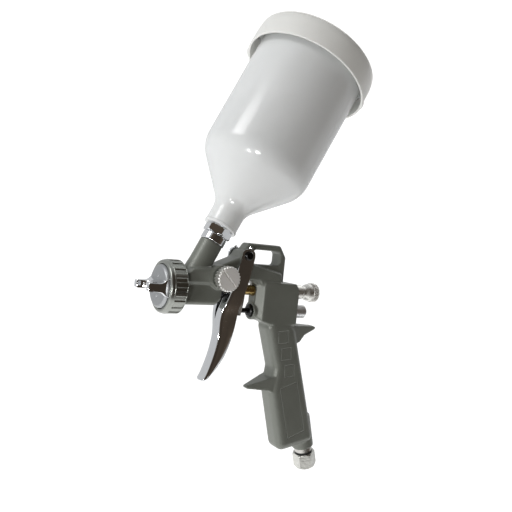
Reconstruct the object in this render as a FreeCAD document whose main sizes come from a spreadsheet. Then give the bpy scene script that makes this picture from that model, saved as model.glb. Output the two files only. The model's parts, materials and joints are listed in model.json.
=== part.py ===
import FreeCAD, Part
import math
import os

import Sketcher

# Gravity-feed air spray gun.
# Frame while modelling: +X is the spray direction, +Z is up, +Y is the gun's left hand, and the
# spray axis is the X axis with X = 0 at the open face of the air cap ring.  Every finished piece
# is then carried so that the origin lies at the mouth of the air inlet nut.

doc = FreeCAD.newDocument("spray_gun")
sheet = doc.addObject("Spreadsheet::Sheet", "Sizes")
XAXIS = FreeCAD.Vector(1, 0, 0)
YAXIS = FreeCAD.Vector(0, 1, 0)
row_of_sheet = 0


class Size:
    """A length or angle that is known both as a number and as a sheet expression."""

    def __init__(self, value, text):
        self.value = value
        self.text = text

    def join(self, other, sign, value):
        text = other.text if isinstance(other, Size) else repr(float(other))
        return Size(value, "(%s %s %s)" % (self.text, sign, text))

    def __add__(self, other):
        return self.join(other, "+", self.value + number(other))

    def __sub__(self, other):
        return self.join(other, "-", self.value - number(other))

    def __mul__(self, other):
        return self.join(other, "*", self.value * number(other))

    def __truediv__(self, other):
        return self.join(other, "/", self.value / number(other))

    def __neg__(self):
        return Size(-self.value, "(-%s)" % self.text)

    __radd__ = __add__
    __rmul__ = __mul__


def number(thing):
    """The plain number of a Size or of a number."""
    return thing.value if isinstance(thing, Size) else float(thing)


def words(thing):
    """The expression text of a Size or of a number."""
    return thing.text if isinstance(thing, Size) else repr(float(thing))


def sine(angle):
    return Size(math.sin(math.radians(angle.value)), "sin(%s * 1 deg)" % angle.text)


def cosine(angle):
    return Size(math.cos(math.radians(angle.value)), "cos(%s * 1 deg)" % angle.text)


def tangent(angle):
    return Size(math.tan(math.radians(angle.value)), "tan(%s * 1 deg)" % angle.text)


def size(name, value):
    """Write one driving dimension to the sheet and hand back its Size."""
    global row_of_sheet
    row_of_sheet += 1
    cell = "B%d" % row_of_sheet
    sheet.set("A%d" % row_of_sheet, name)
    sheet.set(cell, str(value))
    sheet.setAlias(cell, name)
    return Size(float(value), "Sizes." + name)


ZERO = Size(0.0, "0.0")

# ---------------------------------------------------------------- driving dimensions (mm, degrees)
run_gap = size("run_gap", 0.1)              # turning and sliding fits, on the radius
seat_gap = size("seat_gap", 0.05)           # between faces that one piece turns against
wide_gap = size("wide_gap", 0.4)            # between parts that swing past each other

cup_lean = size("cup_lean", 26.6)           # cup axis, leaning back from upright
cup_foot = size("cup_foot", 20.7)           # where the cup axis crosses the spray axis, behind X = 0
boss_end = size("boss_end", 38.2)           # along the cup axis
boss_r = size("boss_r", 8.9)
socket_r = size("socket_r", 6.6)
socket_deep = size("socket_deep", 14.0)
collar_r = size("collar_r", 9.4)
collar_long = size("collar_long", 6.6)
cup_hex = size("cup_hex", 19.0)             # across flats
cup_hex_long = size("cup_hex_long", 6.6)
neck_r = size("neck_r", 12.7)
neck_long = size("neck_long", 18.0)
neck_bore_r = size("neck_bore_r", 6.2)
cone_long = size("cone_long", 35.6)
shoulder_r = size("shoulder_r", 43.7)
cup_rim_r = size("cup_rim_r", 45.3)
cup_wall = size("cup_wall", 1.6)
cup_body_long = size("cup_body_long", 109.0)
shoulder_round = size("shoulder_round", 9.0)
neck_round = size("neck_round", 6.0)
lid_r = size("lid_r", 52.6)
lid_wall = size("lid_wall", 1.8)
lid_skirt = size("lid_skirt", 21.8)
lid_round = size("lid_round", 5.0)
rim_flange = size("rim_flange", 4.0)        # bead round the top of the cup
rim_flange_long = size("rim_flange_long", 4.0)
plug_r = size("plug_r", 4.0)

ring_r = size("ring_r", 19.8)
ring_long = size("ring_long", 13.4)
ring_lip = size("ring_lip", 2.2)
ring_bezel = size("ring_bezel", 3.2)
cap_r = size("cap_r", 16.0)
cap_flange = size("cap_flange", 1.4)
cap_flange_long = size("cap_flange_long", 2.4)
cap_face = size("cap_face", 2.2)            # milled face, ahead of X = 0
cap_skirt = size("cap_skirt", 7.0)
cap_skin = size("cap_skin", 2.0)
horn_tip = size("horn_tip", 14.6)
horn_out = size("horn_out", 13.6)           # outer flank of a horn at its tip, from the axis
horn_wide = size("horn_wide", 4.6)
horn_thick = size("horn_thick", 5.8)
ridge_front = size("ridge_front", 5.4)
head_r = size("head_r", 12.4)
head_back = size("head_back", 47.0)
head_thread_r = size("head_thread_r", 16.2)
head_thread_long = size("head_thread_long", 8.0)

nozzle_r = size("nozzle_r", 6.0)
nozzle_flange_r = size("nozzle_flange_r", 9.5)
nozzle_seat = size("nozzle_seat", 11.5)     # rear face of the nozzle flange, behind X = 0
nozzle_flange_long = size("nozzle_flange_long", 4.0)
nozzle_thread_long = size("nozzle_thread_long", 8.0)
nozzle_tip_r = size("nozzle_tip_r", 2.0)
nozzle_tip = size("nozzle_tip", 5.2)
nozzle_hole_r = size("nozzle_hole_r", 0.75)
nozzle_bore_r = size("nozzle_bore_r", 3.6)

needle_r = size("needle_r", 1.6)
needle_front_r = size("needle_front_r", 1.1)
sleeve_r = size("sleeve_r", 4.0)
sleeve_front = size("sleeve_front", 68.2)
sleeve_long = size("sleeve_long", 27.0)
spring_r = size("spring_r", 4.2)
spring_wire = size("spring_wire", 0.8)
spring_room = size("spring_room", 6.4)
needle_end = size("needle_end", 128.0)

pivot_back = size("pivot_back", 65.4)
pivot_high = size("pivot_high", 27.2)
pivot_r = size("pivot_r", 2.5)
arm_end_r = size("arm_end_r", 5.7)
trigger_sheet = size("trigger_sheet", 1.6)
trigger_web = size("trigger_web", 1.8)
blade_half = size("blade_half", 5.9)
screw_head_r = size("screw_head_r", 3.5)
screw_head_long = size("screw_head_long", 1.6)

arch_half = size("arch_half", 9.4)          # half the body's width where the trigger hangs
hook_half = size("hook_half", 6.2)
hook_top = size("hook_top", 37.0)
hook_back = size("hook_back", 104.4)
hook_bar = size("hook_bar", 4.7)
hook_rear_bar = size("hook_rear_bar", 6.1)
slot_front = size("slot_front", 72.6)
slot_low = size("slot_low", 20.8)
arch_low = size("arch_low", 8.0)
saddle_high = size("saddle_high", 21.2)     # top of the arch just behind the paint boss
brow_back = size("brow_back", 59.5)         # foot of the step up to the pivot
brow_high = size("brow_high", 25.6)
hook_front = size("hook_front", 68.6)
foot_boss_r = size("foot_boss_r", 9.3)
foot_boss_past = size("foot_boss_past", 1.8)    # boss face past the inlet's own datum
head_block_half = size("head_block_half", 10.2)
head_low = size("head_low", 12.0)           # underside of the head below the spray axis
head_round = size("head_round", 3.5)
block_half = size("block_half", 10.4)
block_front = size("block_front", 79.0)
block_back = size("block_back", 118.5)
block_top = size("block_top", 7.4)
block_low = size("block_low", 26.0)
block_chamfer = size("block_chamfer", 5.5)
handle_half = size("handle_half", 10.4)
grip_front = size("grip_front", 92.0)       # front of the grip just under the valve block
grip_high = size("grip_high", 30.0)
grip_lean = size("grip_lean", 16.7)
grip_upper_deep = size("grip_upper_deep", 28.6)
grip_lower_deep = size("grip_lower_deep", 36.6)
spur_drop = size("spur_drop", 66.0)         # root of the finger spur below the spray axis
spur_out = size("spur_out", 80.0)           # its tip, behind X = 0
spur_tip_half = size("spur_tip_half", 2.2)
thumb_out = size("thumb_out", 146.4)        # tip of the rear spur, behind X = 0
thumb_drop = size("thumb_drop", 28.0)
handle_foot = size("handle_foot", 131.0)    # inlet boss face below the spray axis
grip_foot = size("grip_foot", 132.0)        # front of the grip's end face
grip_heel = size("grip_heel", 127.0)        # rear of it
handle_round = size("handle_round", 6.5)

valve_drop = size("valve_drop", 16.3)       # air valve axis below the spray axis
valve_pin_r = size("valve_pin_r", 2.0)
valve_pin_front = size("valve_pin_front", 67.6)
valve_nut_r = size("valve_nut_r", 5.0)
valve_nut_front = size("valve_nut_front", 76.0)
valve_bore_r = size("valve_bore_r", 6.2)
valve_cap_r = size("valve_cap_r", 5.4)
valve_cap_back = size("valve_cap_back", 133.0)

knob_collar_r = size("knob_collar_r", 5.9)
knob_collar_back = size("knob_collar_back", 127.6)
knob_r = size("knob_r", 8.2)
knob_long = size("knob_long", 14.8)
knob_neck_r = size("knob_neck_r", 5.4)

fan_back = size("fan_back", 42.2)
fan_high = size("fan_high", 9.6)
fan_knob_r = size("fan_knob_r", 9.4)
fan_knob_out = size("fan_knob_out", 25.6)
fan_knob_long = size("fan_knob_long", 7.4)
fan_boss_r = size("fan_boss_r", 9.0)
fan_boss_out = size("fan_boss_out", 13.4)
fan_gland_r = size("fan_gland_r", 6.4)
fan_stem_r = size("fan_stem_r", 2.4)

inlet_lean = size("inlet_lean", 16.0)
inlet_back = size("inlet_back", 146.6)      # inlet axis at the foot of the handle
inlet_neck_r = size("inlet_neck_r", 7.6)
inlet_neck_long = size("inlet_neck_long", 5.5)
inlet_thread_r = size("inlet_thread_r", 6.58)   # G 1/4 outside radius
inlet_bore_r = size("inlet_bore_r", 4.0)
inlet_nut_flats = size("inlet_nut_flats", 17.0)
inlet_nut_long = size("inlet_nut_long", 13.0)
inlet_nut_gap = size("inlet_nut_gap", 1.6)
inlet_nut_grip = size("inlet_nut_grip", 5.0)
inlet_minor_r = size("inlet_minor_r", 5.9)
inlet_tail_r = size("inlet_tail_r", 6.5)    # nipple inside the nut
air_bore_r = size("air_bore_r", 4.0)
air_turn = size("air_turn", 24.0)           # up the inlet axis to where the passage bends forward
air_rise_lean = size("air_rise_lean", 21.5) # from there to the air valve, inside the grip

doc.recompute()

inlet_reach = inlet_neck_long + inlet_nut_gap + inlet_nut_long
origin_x = -inlet_back - inlet_reach * sine(inlet_lean)
origin_z = -handle_foot - inlet_reach * cosine(inlet_lean)


# ---------------------------------------------------------------- ways of making things
def bind(thing, name, amount):
    """Tie one property to the sheet."""
    thing.setExpression(name, words(amount))


def put(thing, x, y, z, axis=YAXIS, turn=ZERO):
    """Place a thing whose origin goes to x, y, z of the modelling frame, turned about an axis."""
    thing.Placement = FreeCAD.Placement(
        FreeCAD.Vector(number(x) - number(origin_x), number(y), number(z) - number(origin_z)),
        FreeCAD.Rotation(axis, number(turn)))
    if isinstance(turn, Size) and turn.text != ZERO.text:
        thing.setExpression("Placement.Rotation.Angle", turn.text)
    thing.setExpression("Placement.Base.x", "(%s - %s) * 1 mm" % (words(x), words(origin_x)))
    thing.setExpression("Placement.Base.y", "(%s) * 1 mm" % words(y))
    thing.setExpression("Placement.Base.z", "(%s - %s) * 1 mm" % (words(z), words(origin_z)))
    return thing


def right_angle():
    return Size(90.0, "90.0")


def along_spray(thing, x=ZERO, y=ZERO, z=ZERO):
    """Local Z becomes the spray direction."""
    return put(thing, x, y, z, YAXIS, right_angle())


def along_cup(thing):
    """Local Z becomes the cup axis, from where it crosses the spray axis."""
    return put(thing, -cup_foot, ZERO, ZERO, YAXIS, -cup_lean)


def along_left(thing, x, z):
    """Local Z becomes the gun's left."""
    return put(thing, x, ZERO, z, XAXIS, -right_angle())


def along_inlet(thing):
    """Local Z becomes the inlet axis, pointing down and out from the foot of the handle."""
    return put(thing, -inlet_back, ZERO, -handle_foot, YAXIS, inlet_lean + 180.0)


def side_on(thing):
    """The thing is drawn in the modelling frame itself."""
    return put(thing, ZERO, ZERO, ZERO)


def origin_plane(body, role):
    return [f for f in body.Origin.OriginFeatures if f.Role == role][0]


def outline(body, plane, points, name):
    """A closed sketch of straight edges; every corner is held by its two coordinates."""
    sketch = body.newObject("Sketcher::SketchObject", name)
    sketch.AttachmentSupport = [(origin_plane(body, plane), "")]
    sketch.MapMode = "FlatFace"
    corners = [FreeCAD.Vector(number(a), number(b), 0) for a, b in points]
    count = len(corners)
    for i in range(count):
        sketch.addGeometry(Part.LineSegment(corners[i], corners[(i + 1) % count]), False)
    for i in range(count):
        sketch.addConstraint(Sketcher.Constraint("Coincident", i, 2, (i + 1) % count, 1))
    for i, (a, b) in enumerate(points):
        for kind, amount in (("DistanceX", a), ("DistanceY", b)):
            if number(amount) == 0.0:
                ruler = -2 if kind == "DistanceX" else -1
                sketch.addConstraint(Sketcher.Constraint("PointOnObject", i, 1, ruler))
                continue
            where = sketch.addConstraint(
                Sketcher.Constraint(kind, -1, 1, i, 1, number(amount)))
            sketch.setExpression("Constraints[%d]" % where, words(amount))
    return sketch


def turned(name, points):
    """A body of revolution about local Z from (radius, height) corners."""
    body = doc.addObject("PartDesign::Body", name)
    sketch = outline(body, "XZ_Plane", points, name + "_profile")
    turn = body.newObject("PartDesign::Revolution", name + "_turned")
    turn.Profile = sketch
    turn.ReferenceAxis = (sketch, ["V_Axis"])
    turn.Angle = 360.0
    body.Tip = turn
    return body


def plate(name, points, wide, plane="XZ_Plane"):
    """A body padded to both sides of one origin plane."""
    body = doc.addObject("PartDesign::Body", name)
    sketch = outline(body, plane, points, name + "_outline")
    pad = body.newObject("PartDesign::Pad", name + "_pad")
    pad.Profile = sketch
    pad.Midplane = True
    bind(pad, "Length", wide)
    body.Tip = pad
    return body


def soften(body, radius, wanted, kind="Fillet"):
    """Fillet or chamfer the edges of the body's tip that a test picks."""
    doc.recompute()
    tip = body.Tip
    names = ["Edge%d" % (i + 1) for i, edge in enumerate(tip.Shape.Edges) if wanted(edge)]
    soft = body.newObject("PartDesign::" + kind, "%s_%s" % (body.Name, kind.lower()))
    soft.Base = (tip, names)
    bind(soft, "Radius" if kind == "Fillet" else "Size", radius)
    body.Tip = soft
    return body


def rod(name, radius, start, end):
    """A plain cylinder on local Z from one height to another."""
    low = start if number(start) < number(end) else end
    high = end if number(start) < number(end) else start
    return turned(name, [(ZERO, low), (radius, low), (radius, high), (ZERO, high)])


def prism(name, flats, start, end):
    """A hexagonal bar on local Z, given across flats."""
    body = doc.addObject("PartDesign::Body", name)
    corner = flats / math.sqrt(3.0)
    points = [(corner * math.cos(math.radians(60 * i)), corner * math.sin(math.radians(60 * i)))
              for i in range(6)]
    points[0] = (corner, ZERO)
    points[3] = (-corner, ZERO)
    sketch = outline(body, "XY_Plane", points, name + "_hex")
    bind(sketch, "AttachmentOffset.Base.z", start)
    pad = body.newObject("PartDesign::Pad", name + "_pad")
    pad.Profile = sketch
    bind(pad, "Length", end - start)
    body.Tip = pad
    return body


def fused(name, things):
    joined = doc.addObject("Part::MultiFuse", name)
    joined.Shapes = things
    return joined


def cut(name, base, tool):
    made = doc.addObject("Part::Cut", name)
    made.Base = base
    made.Tool = tool
    return made


def shared(name, things):
    made = doc.addObject("Part::MultiCommon", name)
    made.Shapes = things
    return made


finished = {}


def finish(thing, node):
    """Name a finished sub-part; the label is the node and the file."""
    thing.Label = node
    finished[node] = thing
    return thing


def tube(name, outer, inner, start, end):
    """A plain sleeve on local Z."""
    return turned(name, [(inner, start), (outer, start), (outer, end), (inner, end)])


def bevelled(name, outer, inner, start, end, bevel):
    """A sleeve on local Z with both outer rims bevelled."""
    return turned(name, [(inner, start), (outer - bevel, start), (outer, start + bevel),
                         (outer, end - bevel), (outer - bevel, end), (inner, end)])


# ---------------------------------------------------------------- the die-cast body
def side_edges(half):
    """Edges that lie in a side face of a plate of this half width."""
    def wanted(edge):
        return all(abs(abs(v.Y) - number(half)) < 1e-4 for v in edge.Vertexes)
    return wanted


def cross_edges(half):
    """Straight edges that run from one side face of a plate to the other."""
    def wanted(edge):
        ends = edge.Vertexes
        return len(ends) == 2 and abs(abs(ends[0].Y - ends[1].Y) - 2 * number(half)) < 1e-4
    return wanted


def wedge(name, tip, root):
    """A tall wedge seen from above: narrow at its tip, nearly as wide as the handle at its root."""
    return plate(name, [(tip, -spur_tip_half), (root, -handle_half + 1.0), (root, handle_half - 1.0),
                        (tip, spur_tip_half)], handle_foot * 3, "XY_Plane")


def make_body():
    """The casting: head, paint boss, arch with its hanging hook, valve block and grip."""
    edge = size("cast_edge", 1.8)
    arch = plate("arch", [(-head_back + 15.0, ZERO + 2.0), (-head_back + 8.0, saddle_high - 5.0),
                          (-head_back - 2.4, saddle_high), (-brow_back, brow_high),
                          (-brow_back - 3.0, brow_high + 5.0), (-pivot_back - 1.0, pivot_high + 4.8),
                          (-slot_front + 1.0, pivot_high + 4.8), (-slot_front, slot_low),
                          (-hook_back + 4.0, slot_low - 6.0), (-hook_back + 4.0, block_top - 5.0),
                          (-block_front - 4.0, block_top - 5.0), (-block_front - 1.0, arch_low),
                          (-head_back + 1.0, arch_low)], arch_half * 2)
    soften(arch, edge, side_edges(arch_half))
    hook = plate("hook", [(-hook_front + 8.0, saddle_high), (-hook_front + 3.6, hook_top - 5.0),
                          (-hook_front, hook_top),
                          (-hook_back + 6.0, hook_top), (-hook_back, hook_top - 9.0),
                          (-hook_back, block_top - 5.0), (-block_front - 4.0, block_top - 5.0),
                          (-slot_front, arch_low)], hook_half * 2)
    soften(hook, edge, side_edges(hook_half))
    slot = plate("slot", [(-slot_front, slot_low), (-slot_front, hook_top - hook_bar),
                          (-hook_back + hook_rear_bar, hook_top - hook_bar),
                          (-hook_back + hook_rear_bar, slot_low)], arch_half * 3)
    soften(slot, hook_bar * 0.6, cross_edges(arch_half * 1.5))
    block = plate("block", [(-block_front, arch_low), (-block_front, -valve_drop - 3.4),
                            (-block_front - 6.0, -valve_drop - 7.4), (-grip_front, -block_low),
                            (-block_back, -block_low), (-block_back, block_top - 5.0),
                            (-block_back + 3.5, block_top), (-hook_back + 3.0, block_top)],
                  block_half * 2)
    def front_corner(e):
        ends = e.Vertexes
        return all(abs(v.X + number(block_front)) < 1e-4 for v in ends) and \
            abs(abs(ends[0].Y) - number(block_half)) < 1e-4 and abs(ends[0].Y - ends[1].Y) < 1e-4
    soften(block, block_chamfer, front_corner, "Chamfer")
    valve_boss = rod("valve_boss", valve_nut_r + 2.2, -valve_nut_front - 2.0, -block_back + 8.0)
    along_spray(valve_boss, ZERO, ZERO, -valve_drop)
    fall = grip_foot - grip_high
    spread = tangent(grip_lean)
    rear_top = -(grip_front + grip_upper_deep)
    waist = spur_drop - grip_high
    grip = plate("grip", [(-grip_front, -valve_drop), (-grip_front, -grip_high),
                          (-grip_front - waist * spread, -spur_drop + 4.0),
                          (-grip_front - waist * spread + 1.6, -spur_drop - 16.0),
                          (-grip_front - fall * spread + grip_lower_deep - grip_upper_deep,
                           -grip_foot + 3.0),
                          (-grip_front - fall * spread + grip_lower_deep - grip_upper_deep - 4.0,
                           -grip_foot),
                          (rear_top - (grip_heel - grip_high) * spread - 2.4, -grip_heel),
                          (rear_top, -grip_high),
                          (rear_top + 5.5, -valve_drop - valve_cap_r - 1.5)], handle_half * 2)
    soften(grip, handle_round, side_edges(handle_half))
    spur_side = plate("spur_side", [(-grip_front - waist * spread - 6.0, -spur_drop - 2.0),
                                    (-grip_front - waist * spread + 3.0, -spur_drop - 4.2),
                                    (-spur_out - 1.6, -spur_drop - 10.4),
                                    (-spur_out, -spur_drop - 11.6), (-spur_out - 2.0, -spur_drop - 13.0),
                                    (-grip_front - waist * spread + 4.0, -spur_drop - 14.4),
                                    (-grip_front - waist * spread - 4.0, -spur_drop - 17.0)],
                      handle_half * 2)
    spur_plan = wedge("spur_plan", -spur_out, -grip_front - 14.0)
    spur = shared("spur", [side_on(spur_side), side_on(spur_plan)])
    thumb_side = plate("thumb_side", [(-block_back + 6.0, -thumb_drop + 1.5),
                                      (-thumb_out + 4.0, -thumb_drop), (-thumb_out, -thumb_drop - 1.4),
                                      (-thumb_out + 1.4, -thumb_drop - 3.2),
                                      (-thumb_out + 14.0, -thumb_drop - 7.6),
                                      (rear_top - 6.0, -thumb_drop - 13.5),
                                      (rear_top + 8.0, -thumb_drop - 13.5)], handle_half * 2)
    thumb_plan = wedge("thumb_plan", -thumb_out, rear_top + 6.0)
    thumb = shared("thumb", [side_on(thumb_side), side_on(thumb_plan)])
    head_block = plate("head_block", [(-ring_long - 0.6, -head_low), (-head_back + 5.5, -head_low),
                                      (-head_back + 0.5, -head_low + 4.0),
                                      (-head_back, fan_high), (-ring_long - 0.6, fan_high)],
                       head_block_half * 2)
    soften(head_block, head_round, side_edges(head_block_half))
    head = turned("head", [(ZERO, -head_back + 1.0), (head_r - 4.0, -head_back + 1.0),
                           (head_r - 3.0, -head_back + 6.0), (head_r - 3.0, -ring_long - 3.0),
                           (head_r, -ring_long - 3.0), (head_r, -ring_long - 0.6),
                           (head_thread_r - 1.6, -ring_long - 0.6),
                           (head_thread_r - 1.6, -ring_long + head_thread_long - 3.0),
                           (ZERO, -ring_long + head_thread_long - 3.0)])
    along_spray(head)
    air_gallery = plate("air_gallery", [
        (-ring_long - 2.0, fan_high - 5.2), (-ring_long - 2.0, fan_high + 2.0),
        (-ring_long - 6.0, fan_high + 5.4), (-head_back - 6.0, fan_high + 8.0),
        (-head_back - 6.0, fan_high - 5.2)], fan_boss_out * 2 - 1.0)
    soften(air_gallery, edge, side_edges(fan_boss_out - 0.5))
    boss = turned("boss", [(ZERO, ZERO), (boss_r + 1.2, ZERO), (boss_r, boss_end - 16.0),
                           (boss_r, boss_end), (ZERO, boss_end)])
    along_cup(boss)
    fan_boss = rod("fan_boss", fan_boss_r, ZERO, fan_boss_out)
    along_left(fan_boss, -fan_back, fan_high)
    foot_boss = rod("foot_boss", foot_boss_r, ZERO - 26.0, foot_boss_past)
    along_inlet(foot_boss)
    solid = fused("casting", [side_on(arch), side_on(block), side_on(grip), spur,
                              thumb, head, side_on(head_block), side_on(air_gallery), boss, fan_boss,
                              foot_boss, valve_boss, side_on(hook)])
    needle_bore = turned("needle_bore", [
        (ZERO, ZERO), (nozzle_flange_r + wide_gap, ZERO), (nozzle_flange_r + wide_gap, -nozzle_seat),
        (nozzle_r, -nozzle_seat), (nozzle_r, -nozzle_seat - nozzle_thread_long - 2.0),
        (nozzle_bore_r, -nozzle_seat - nozzle_thread_long - 5.0), (nozzle_bore_r, -head_back),
        (nozzle_r + wide_gap, -head_back), (nozzle_r + wide_gap, -head_back - 9.0),
        (ZERO, -head_back - 9.0)])
    along_spray(needle_bore)
    rear_bore = turned("rear_bore", [
        (ZERO, -block_front + 4.0), (sleeve_r + run_gap, -block_front + 4.0),
        (sleeve_r + run_gap, -block_front - 4.0), (spring_r + spring_wire + 0.6, -block_front - 4.0),
        (spring_r + spring_wire + 0.6, -block_back - 4.0), (ZERO, -block_back - 4.0)])
    along_spray(rear_bore)
    valve_bore = turned("valve_bore", [
        (ZERO, -valve_nut_front + 6.0), (valve_nut_r, -valve_nut_front + 6.0),
        (valve_nut_r, -block_front - 8.0), (valve_pin_r + 1.2, -block_front - 8.0),
        (valve_pin_r + 1.2, -block_front - 11.0), (valve_bore_r - 1.6, -block_front - 11.0),
        (valve_bore_r - 1.6, -block_back - 4.0), (ZERO, -block_back - 4.0)])
    along_spray(valve_bore, ZERO, ZERO, -valve_drop)
    paint_bore = turned("paint_bore", [(ZERO, ZERO), (nozzle_bore_r, ZERO),
                                       (nozzle_bore_r, boss_end - socket_deep),
                                       (socket_r, boss_end - socket_deep),
                                       (socket_r, boss_end + 4.0), (ZERO, boss_end + 4.0)])
    along_cup(paint_bore)
    fan_bore = turned("fan_bore", [(ZERO, fan_gland_r * 0.5), (fan_stem_r + 0.6, fan_gland_r * 0.5),
                                   (fan_stem_r + 0.6, fan_boss_out - 8.0),
                                   (fan_gland_r - 1.4, fan_boss_out - 8.0),
                                   (fan_gland_r - 1.4, fan_boss_out + 4.0),
                                   (ZERO, fan_boss_out + 4.0)])
    along_left(fan_bore, -fan_back, fan_high)
    air_bore = turned("air_bore", [(ZERO, 6.0 + ZERO), (inlet_thread_r, 6.0 + ZERO),
                                   (inlet_thread_r, ZERO - 12.0), (air_bore_r, ZERO - 14.0),
                                   (air_bore_r, -air_turn), (ZERO, -air_turn - air_bore_r * 0.6)])
    along_inlet(air_bore)
    bend_high = air_turn * cosine(inlet_lean)
    rise_long = (handle_foot - valve_drop - bend_high) / cosine(air_rise_lean)
    air_rise = rod("air_rise", air_bore_r, ZERO, rise_long)
    put(air_rise, -inlet_back + air_turn * sine(inlet_lean), ZERO, -handle_foot + bend_high,
        YAXIS, air_rise_lean)
    pivot_bore = rod("pivot_bore", pivot_r + run_gap, -arch_half - 3.0, arch_half + 3.0)
    along_left(pivot_bore, -pivot_back, pivot_high)
    holes = fused("body_holes", [side_on(slot), needle_bore, rear_bore, valve_bore, paint_bore,
                                 fan_bore, air_bore, air_rise, pivot_bore])
    finish(cut("gun_body_cut", solid, holes), "gun_body")


make_body()


# ---------------------------------------------------------------- nozzle set and air cap
def make_nozzle_set():
    """Fluid nozzle, its gasket, the air cap with two horns and the ring that holds it."""
    tip = nozzle_tip
    finish(along_spray(turned("nozzle", [
        (nozzle_bore_r - 0.8, -nozzle_seat - nozzle_thread_long),
        (nozzle_r, -nozzle_seat - nozzle_thread_long),
        (nozzle_r, -nozzle_seat), (nozzle_flange_r, -nozzle_seat),
        (nozzle_flange_r, -nozzle_seat + nozzle_flange_long),
        (nozzle_r, -nozzle_seat + nozzle_flange_long + 2.4),
        (nozzle_tip_r + 2.4, ZERO - 4.0), (nozzle_tip_r, ZERO - 1.5), (nozzle_tip_r, tip),
        (nozzle_hole_r, tip), (nozzle_hole_r, tip - 1.2), (needle_front_r + 0.2, tip - 2.0),
        (needle_front_r + 0.2, ZERO - 2.0), (nozzle_bore_r - 0.8, tip - 12.0)])), "fluid_nozzle")
    finish(along_spray(turned("gasket", [
        (nozzle_flange_r + wide_gap + 0.3, -ring_long + head_thread_long - 3.0),
        (head_thread_r - 2.4, -ring_long + head_thread_long - 3.0),
        (head_thread_r - 2.4, -ring_long + head_thread_long - 2.2),
        (nozzle_flange_r + wide_gap + 0.3, -ring_long + head_thread_long - 2.2)])), "head_gasket")
    gasket_face = -ring_long + head_thread_long - 2.2
    lip = -ring_lip
    flange_back = lip - seat_gap - cap_flange_long
    shell = turned("cap_shell", [
        (cap_r - cap_skin * 2, gasket_face + seat_gap), (head_thread_r - 2.4, gasket_face + seat_gap),
        (head_thread_r - 2.4, flange_back), (cap_r + cap_flange, flange_back),
        (cap_r + cap_flange, lip - seat_gap), (cap_r, lip - seat_gap), (cap_r, cap_face - 1.4),
        (cap_r - 1.4, cap_face), (nozzle_tip_r + 0.5, cap_face),
        (nozzle_tip_r + 0.5, cap_face - cap_skin), (cap_r - cap_skin * 2, cap_face - cap_skin - 1.0)])
    along_spray(shell)
    horns = plate("cap_horns", [
        (cap_face - cap_skin * 0.5, cap_r - 1.0), (horn_tip - 1.0, horn_out),
        (horn_tip, horn_out - 1.0), (horn_tip, horn_out - horn_wide + 0.8),
        (horn_tip - 3.4, horn_out - horn_wide), (cap_face + 4.0, horn_out - horn_wide - 2.4),
        (ridge_front, nozzle_tip_r + 2.2), (ridge_front, -nozzle_tip_r - 2.2),
        (cap_face + 4.0, -horn_out + horn_wide + 2.4), (horn_tip - 3.4, -horn_out + horn_wide),
        (horn_tip, -horn_out + horn_wide - 0.8), (horn_tip, -horn_out + 1.0),
        (horn_tip - 1.0, -horn_out), (cap_face - cap_skin * 0.5, -cap_r + 1.0)],
        horn_thick, "XY_Plane")

    def flank_edge(e):
        return all(abs(abs(v.Z) - number(horn_thick) / 2) < 1e-4 for v in e.Vertexes)
    soften(horns, size("horn_edge", 0.7), flank_edge)
    side_on(horns)
    centre = along_spray(rod("cap_centre", nozzle_tip_r + 0.5, -cap_skirt, ridge_front + 3.0))
    drills = []
    for sign in (1.0, -1.0):
        side = "left" if sign > 0 else "right"
        drill = rod("horn_hole_" + side, nozzle_hole_r, ZERO, horn_out - horn_wide * 0.5)
        drills.append(put(drill, horn_tip - 2.6, ZERO, ZERO, XAXIS, -right_angle() * sign))
    cap_solid = fused("air_cap_solid", [shell, horns])
    finish(cut("air_cap_cut", cap_solid, fused("air_cap_holes", [centre] + drills)), "air_cap")
    inner = head_thread_r - 1.6 + wide_gap
    finish(along_spray(turned("ring", [
        (cap_r + run_gap, ZERO - 0.4), (ring_r - ring_bezel, ZERO), (ring_r - 0.6, -ring_bezel * 0.7),
        (ring_r, -ring_bezel), (ring_r, -ring_long + 1.0), (ring_r - 1.0, -ring_long),
        (inner, -ring_long), (inner, flange_back - 1.0),
        (cap_r + cap_flange + run_gap, flange_back - 1.0), (cap_r + cap_flange + run_gap, lip),
        (cap_r + run_gap, lip)])), "air_cap_ring")


make_nozzle_set()


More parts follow.
